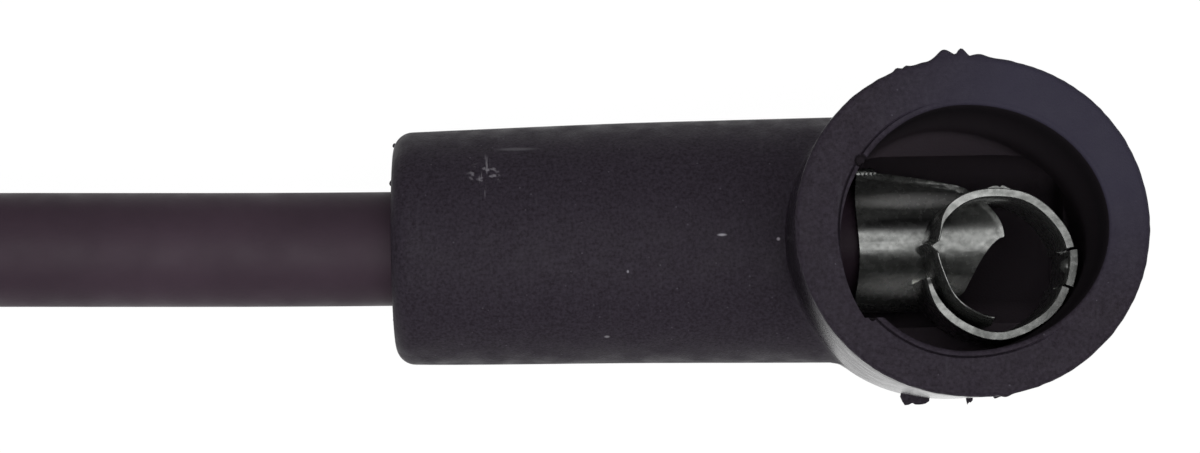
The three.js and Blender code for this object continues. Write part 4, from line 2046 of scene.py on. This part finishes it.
@dataclass
class PlugTerminal:
    """The snap terminal in the plug boot, rolled from one sheet, with its sprung ring."""

    x: float
    y: float
    z: float
    crimp_start: float = 15.0
    crimp_length: float = 7.0
    neck: float = 3.0
    socket_length: float = 12.0
    socket_bore: float = 3.25
    crimp_bore: float = 3.85
    sheet: float = 0.5
    broken_edge: float = 0.12
    seam: float = 0.5
    slot: float = 0.7
    slot_depth: float = 8.0
    wire: float = 0.8
    ring_place: float = 7.0
    ring_opening: float = 40.0
    ring_gap: float = 0.3
    ring_points: int = 90
    clear: float = 9.0

    def block(self, low: Triple, high: Triple) -> Piece:
        """A cutting block, placed from the terminal's own start.

        Args:
            low: its lower corner.
            high: its upper corner.

        Returns:
            The block.
        """
        (x0, y0, z0), (x1, y1, z1) = low, high
        outline = [(self.x + x, self.y + y) for x, y in ((x0, y0), (x1, y0), (x1, y1), (x0, y1))]
        return prism("block", outline, self.z + z0, self.z + z1)

    def shell(self) -> Piece:
        """The rolled sheet before its seam and slots are cut.

        Returns:
            The shell.
        """
        crimp_end = self.crimp_start + self.crimp_length
        root = crimp_end + self.neck
        end = root + self.socket_length
        bore, crimp_bore, sheet = self.socket_bore, self.crimp_bore, self.sheet
        flare, edge = sheet * 0.6, self.broken_edge
        corners = [
            (crimp_bore + sheet - edge, self.crimp_start),
            (crimp_bore + sheet, self.crimp_start + edge),
            (crimp_bore + sheet, crimp_end),
            (bore + sheet, root),
            (bore + sheet, end - sheet),
            (bore + sheet + flare, end - 0.1),
            (bore + sheet + flare - 0.15, end),
            (bore + flare, end),
            (bore, end - sheet),
            (bore, root),
            (crimp_bore, crimp_end),
            (crimp_bore, self.crimp_start),
        ]
        return turned(
            "snap_terminal", stretched(corners, 1.0), 120, Axis.X, centre=(self.x, self.y, self.z)
        )

    def build(self, finish: Material) -> Piece:
        """Makes and dresses the terminal: its seam, the slots in its socket and the gaps in its neck.

        Args:
            finish: the sheet.

        Returns:
            The terminal.
        """
        crimp_end = self.crimp_start + self.crimp_length
        root = crimp_end + self.neck
        end = root + self.socket_length
        seam, slot, gap, clear = self.seam / 2, self.slot / 2, self.socket_bore / 2, self.clear
        shell = self.shell()
        seam_start, slot_start, past = self.crimp_start - PAST, end - self.slot_depth, end + PAST
        combined(shell, self.block((seam_start, -seam, -clear), (past, seam, 0)), Cut.TAKE)
        combined(shell, self.block((slot_start, -clear, -slot), (past, clear, slot)), Cut.TAKE)
        combined(shell, self.block((crimp_end, -clear, -gap), (root, clear, gap)), Cut.TAKE)
        return dressed(shell, finish, Slot.SHEET, "plug_terminal")

    def spring(self, finish: Material) -> Piece:
        """Makes and dresses the sprung ring.

        Args:
            finish: the wire.

        Returns:
            The ring.
        """
        radius = self.socket_bore + self.sheet + self.ring_gap + self.wire / 2
        x = self.x + (self.crimp_start + self.crimp_length + self.neck + self.ring_place)
        half = self.ring_opening / 2
        angles = np.radians(np.linspace(-90 + half, 270 - half, self.ring_points))
        across, up = self.y + radius * np.cos(angles), self.z + radius * np.sin(angles)
        path = np.stack([np.full(self.ring_points, x), across, up], axis=1)
        ring = swept("snap_ring", path, lambda i: round_section(self.wire / 2, 16), up=(1, 0, 0))
        return dressed(ring, finish, Slot.WIRE, "plug_terminal_spring")


@dataclass
class Studio:
    """The floor, the lights and the camera at the photograph's angle."""

    exit_x: float
    arm_y: float
    axis_height: float
    image_width: float = 1200.0
    pixels_per_mm: float = 16.3
    exit_pixel: float = 395.0
    distance: float = 270.0
    tilt: float = 3.0
    roll: float = 0.84
    target_y: float = 1.49
    sensor: float = 36.0
    floor_size: float = 4000.0
    floor_tone: float = 0.86
    floor_glow: float = 1.03
    shown_white: float = 0.95
    horizon: float = 0.41
    zenith: float = 2.7
    brightest: Triple = (0.0, -0.21, 1.0)
    brightening: Pair = (0.78, 0.97)

    def camera(self) -> Piece:
        """Makes the camera: it looks down, a little from the near side, and is turned a touch.

        Returns:
            The camera.
        """
        past_exit = (self.image_width / 2 - self.exit_pixel) / self.pixels_per_mm
        target = Vector((self.exit_x + past_exit, self.target_y, self.axis_height))
        tilt, roll = math.radians(self.tilt), math.radians(self.roll)
        back = Vector((0, -math.sin(tilt), math.cos(tilt)))
        level = Vector((1, 0, 0))
        up = back.cross(level)
        right = level * math.cos(roll) - up * math.sin(roll)
        raised = up * math.cos(roll) + level * math.sin(roll)
        data = bpy.data.cameras.new("camera")
        data.sensor_width = self.sensor
        data.sensor_fit = "HORIZONTAL"
        data.lens = self.sensor * self.distance * self.pixels_per_mm / self.image_width
        data.clip_start = 0.01
        camera = bpy.data.objects.new("camera", data)
        turn = Matrix((right, raised, back)).transposed().to_4x4()
        camera.matrix_world = Matrix.Translation((target + back * self.distance) * MM) @ turn
        bpy.context.scene.collection.objects.link(camera)
        bpy.context.scene.camera = camera
        return camera

    def floor(self) -> Piece:
        """Makes the pale floor, which shows white and keeps the object's shadow.

        Returns:
            The floor.
        """
        half, tone = self.floor_size / 2, self.floor_tone
        corners = [(-half, -half, 0), (half, -half, 0), (half, half, 0), (-half, half, 0)]
        floor = mesh_object("floor", corners, [(0, 1, 2, 3)])
        nodes = Nodes("floor_white")
        nodes.feed(Base_Color=(tone, tone, tone, 1), Roughness=0.9, Specular_IOR_Level=0.1)
        glow = nodes.add("Emission", {"Strength": self.floor_glow}).outputs["Emission"]
        rays = nodes.add("LightPath", {}).outputs
        watched = nodes.maths("ADD", rays["Is Camera Ray"], rays["Is Glossy Ray"], clamp=True)
        watched = nodes.maths("ADD", watched, rays["Is Transmission Ray"], clamp=True)
        share = nodes.maths("MULTIPLY", watched, self.shown_white)
        blend = nodes.add("MixShader", {"Fac": share, 1: nodes.shader.outputs["BSDF"], 2: glow})
        nodes.link(blend.outputs["Shader"], nodes.tree.nodes["Material Output"].inputs["Surface"])
        floor.data.materials.append(nodes.material)
        return floor

    def world(self) -> None:
        """Makes the soft surrounding light, stronger overhead, and white where the camera sees it."""
        world = bpy.data.worlds.new("surround")
        bpy.context.scene.world = world
        world.use_nodes = True
        wires = Wires(world.node_tree)
        shade = wires.tree.nodes["Background"]
        shade.inputs["Color"].default_value = (1, 1, 1, 1)
        direction = wires.add("TexCoord", {}).outputs["Generated"]
        brightest = Vector(self.brightest).normalized()
        overhead = wires.vector("DOT_PRODUCT", direction, brightest).outputs["Value"]
        limits = {"From Min": self.brightening[0], "From Max": self.brightening[1]}
        lit = {"Value": overhead, **limits, "To Min": self.horizon, "To Max": self.zenith}
        height = wires.add("MapRange", lit, interpolation_type="SMOOTHSTEP").outputs["Result"]
        seen = wires.add("LightPath", {}).outputs["Is Camera Ray"]
        strength = wires.add("MapRange", {"Value": seen, "To Min": height, "To Max": 1.0}).outputs["Result"]
        wires.link(strength, shade.inputs["Strength"])

    def lamp(self, name: str, place: Triple, size: float, power: float) -> Piece:
        """Makes a soft lamp that faces the boot.

        Args:
            name: the lamp's name.
            place: where it stands, in millimetres.
            size: its side in millimetres.
            power: its power in watts.

        Returns:
            The lamp.
        """
        data = bpy.data.lights.new(name, "AREA")
        data.size = size * MM
        data.energy = power
        lamp = bpy.data.objects.new(name, data)
        lamp.location = Vector(place) * MM
        aim = Vector((0, 0, self.axis_height)) * MM - lamp.location
        lamp.rotation_euler = aim.to_track_quat("-Z", "Y").to_euler()
        bpy.context.scene.collection.objects.link(lamp)
        return lamp

    def build(self) -> None:
        """Makes the whole studio."""
        self.floor()
        self.world()
        self.lamp("soft_key", (-80, -120, 700), 500, 0.6)
        self.camera()
        bpy.context.scene.view_settings.view_transform = "Standard"


def main() -> None:
    """Builds the pieces in order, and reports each."""
    logging.basicConfig(level=logging.INFO, format="%(name)s: %(message)s")
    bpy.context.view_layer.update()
    low, high = (Vector(corner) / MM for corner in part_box("distributor_boot"))
    plug_low, plug_high = (Vector(corner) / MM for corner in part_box("plug_boot"))
    terminal_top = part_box("distributor_terminal")[1][2] / MM

    boot = ElbowBoot(barrel_x=high.x - ElbowBoot.half_width, mouth=high.z)
    plug_y, plug_z = (plug_low.y + plug_high.y) / 2, (plug_low.z + plug_high.z) / 2
    centre = (boot.barrel_x + boot.bore_shift[0], boot.bore_shift[1])
    rubber = BootRubber(bore_centre=centre, bore_top=boot.mouth - 0.12, marks=boot.marks()).build()
    elbow_terminal = ElbowTerminal(barrel_x=boot.barrel_x, top=terminal_top)
    sheet = TarnishedSheet(painted_reflection_bands=elbow_terminal.painted_reflection_bands()).build()
    fibre = FibreCore().build()

    boot.build(rubber)
    elbow_terminal.build(sheet)
    core_start = (boot.barrel_x - 2.2, boot.arm_y, boot.axis_height)
    CoreEnd("elbow_core", "distributor_core_end", core_start).build(fibre)

    plug_boot = PlugBoot(plug_low.x, plug_y, plug_z).build(rubber)
    terminal = PlugTerminal(plug_low.x, plug_y, plug_z)
    plug_terminal = terminal.build(sheet)
    plug_spring = terminal.spring(SpringWire().build())
    plug_core = CoreEnd("plug_core", "plug_core_end", (plug_low.x + 18.7, plug_y, plug_z)).build(fibre)
    cable = Cable(
        exit_x=low.x,
        start_x=boot.barrel_x - 2.5,
        arm_y=boot.arm_y,
        axis_height=boot.axis_height,
        plug_x=plug_low.x,
        plug_y=plug_y,
        plug_height=plug_z,
    )
    coil_tie = CoilTie(cable.coil_x, cable.coil_y, cable.coil_radius, cable.diameter, cable.tie_angle)
    tie = coil_tie.build(StrapNylon().build())
    cable.build(JacketRubber().build(), [tie, plug_boot, plug_terminal, plug_spring, plug_core])

    Studio(exit_x=low.x, arm_y=boot.arm_y, axis_height=boot.axis_height).build()


if __name__ == "__main__":
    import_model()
    main()
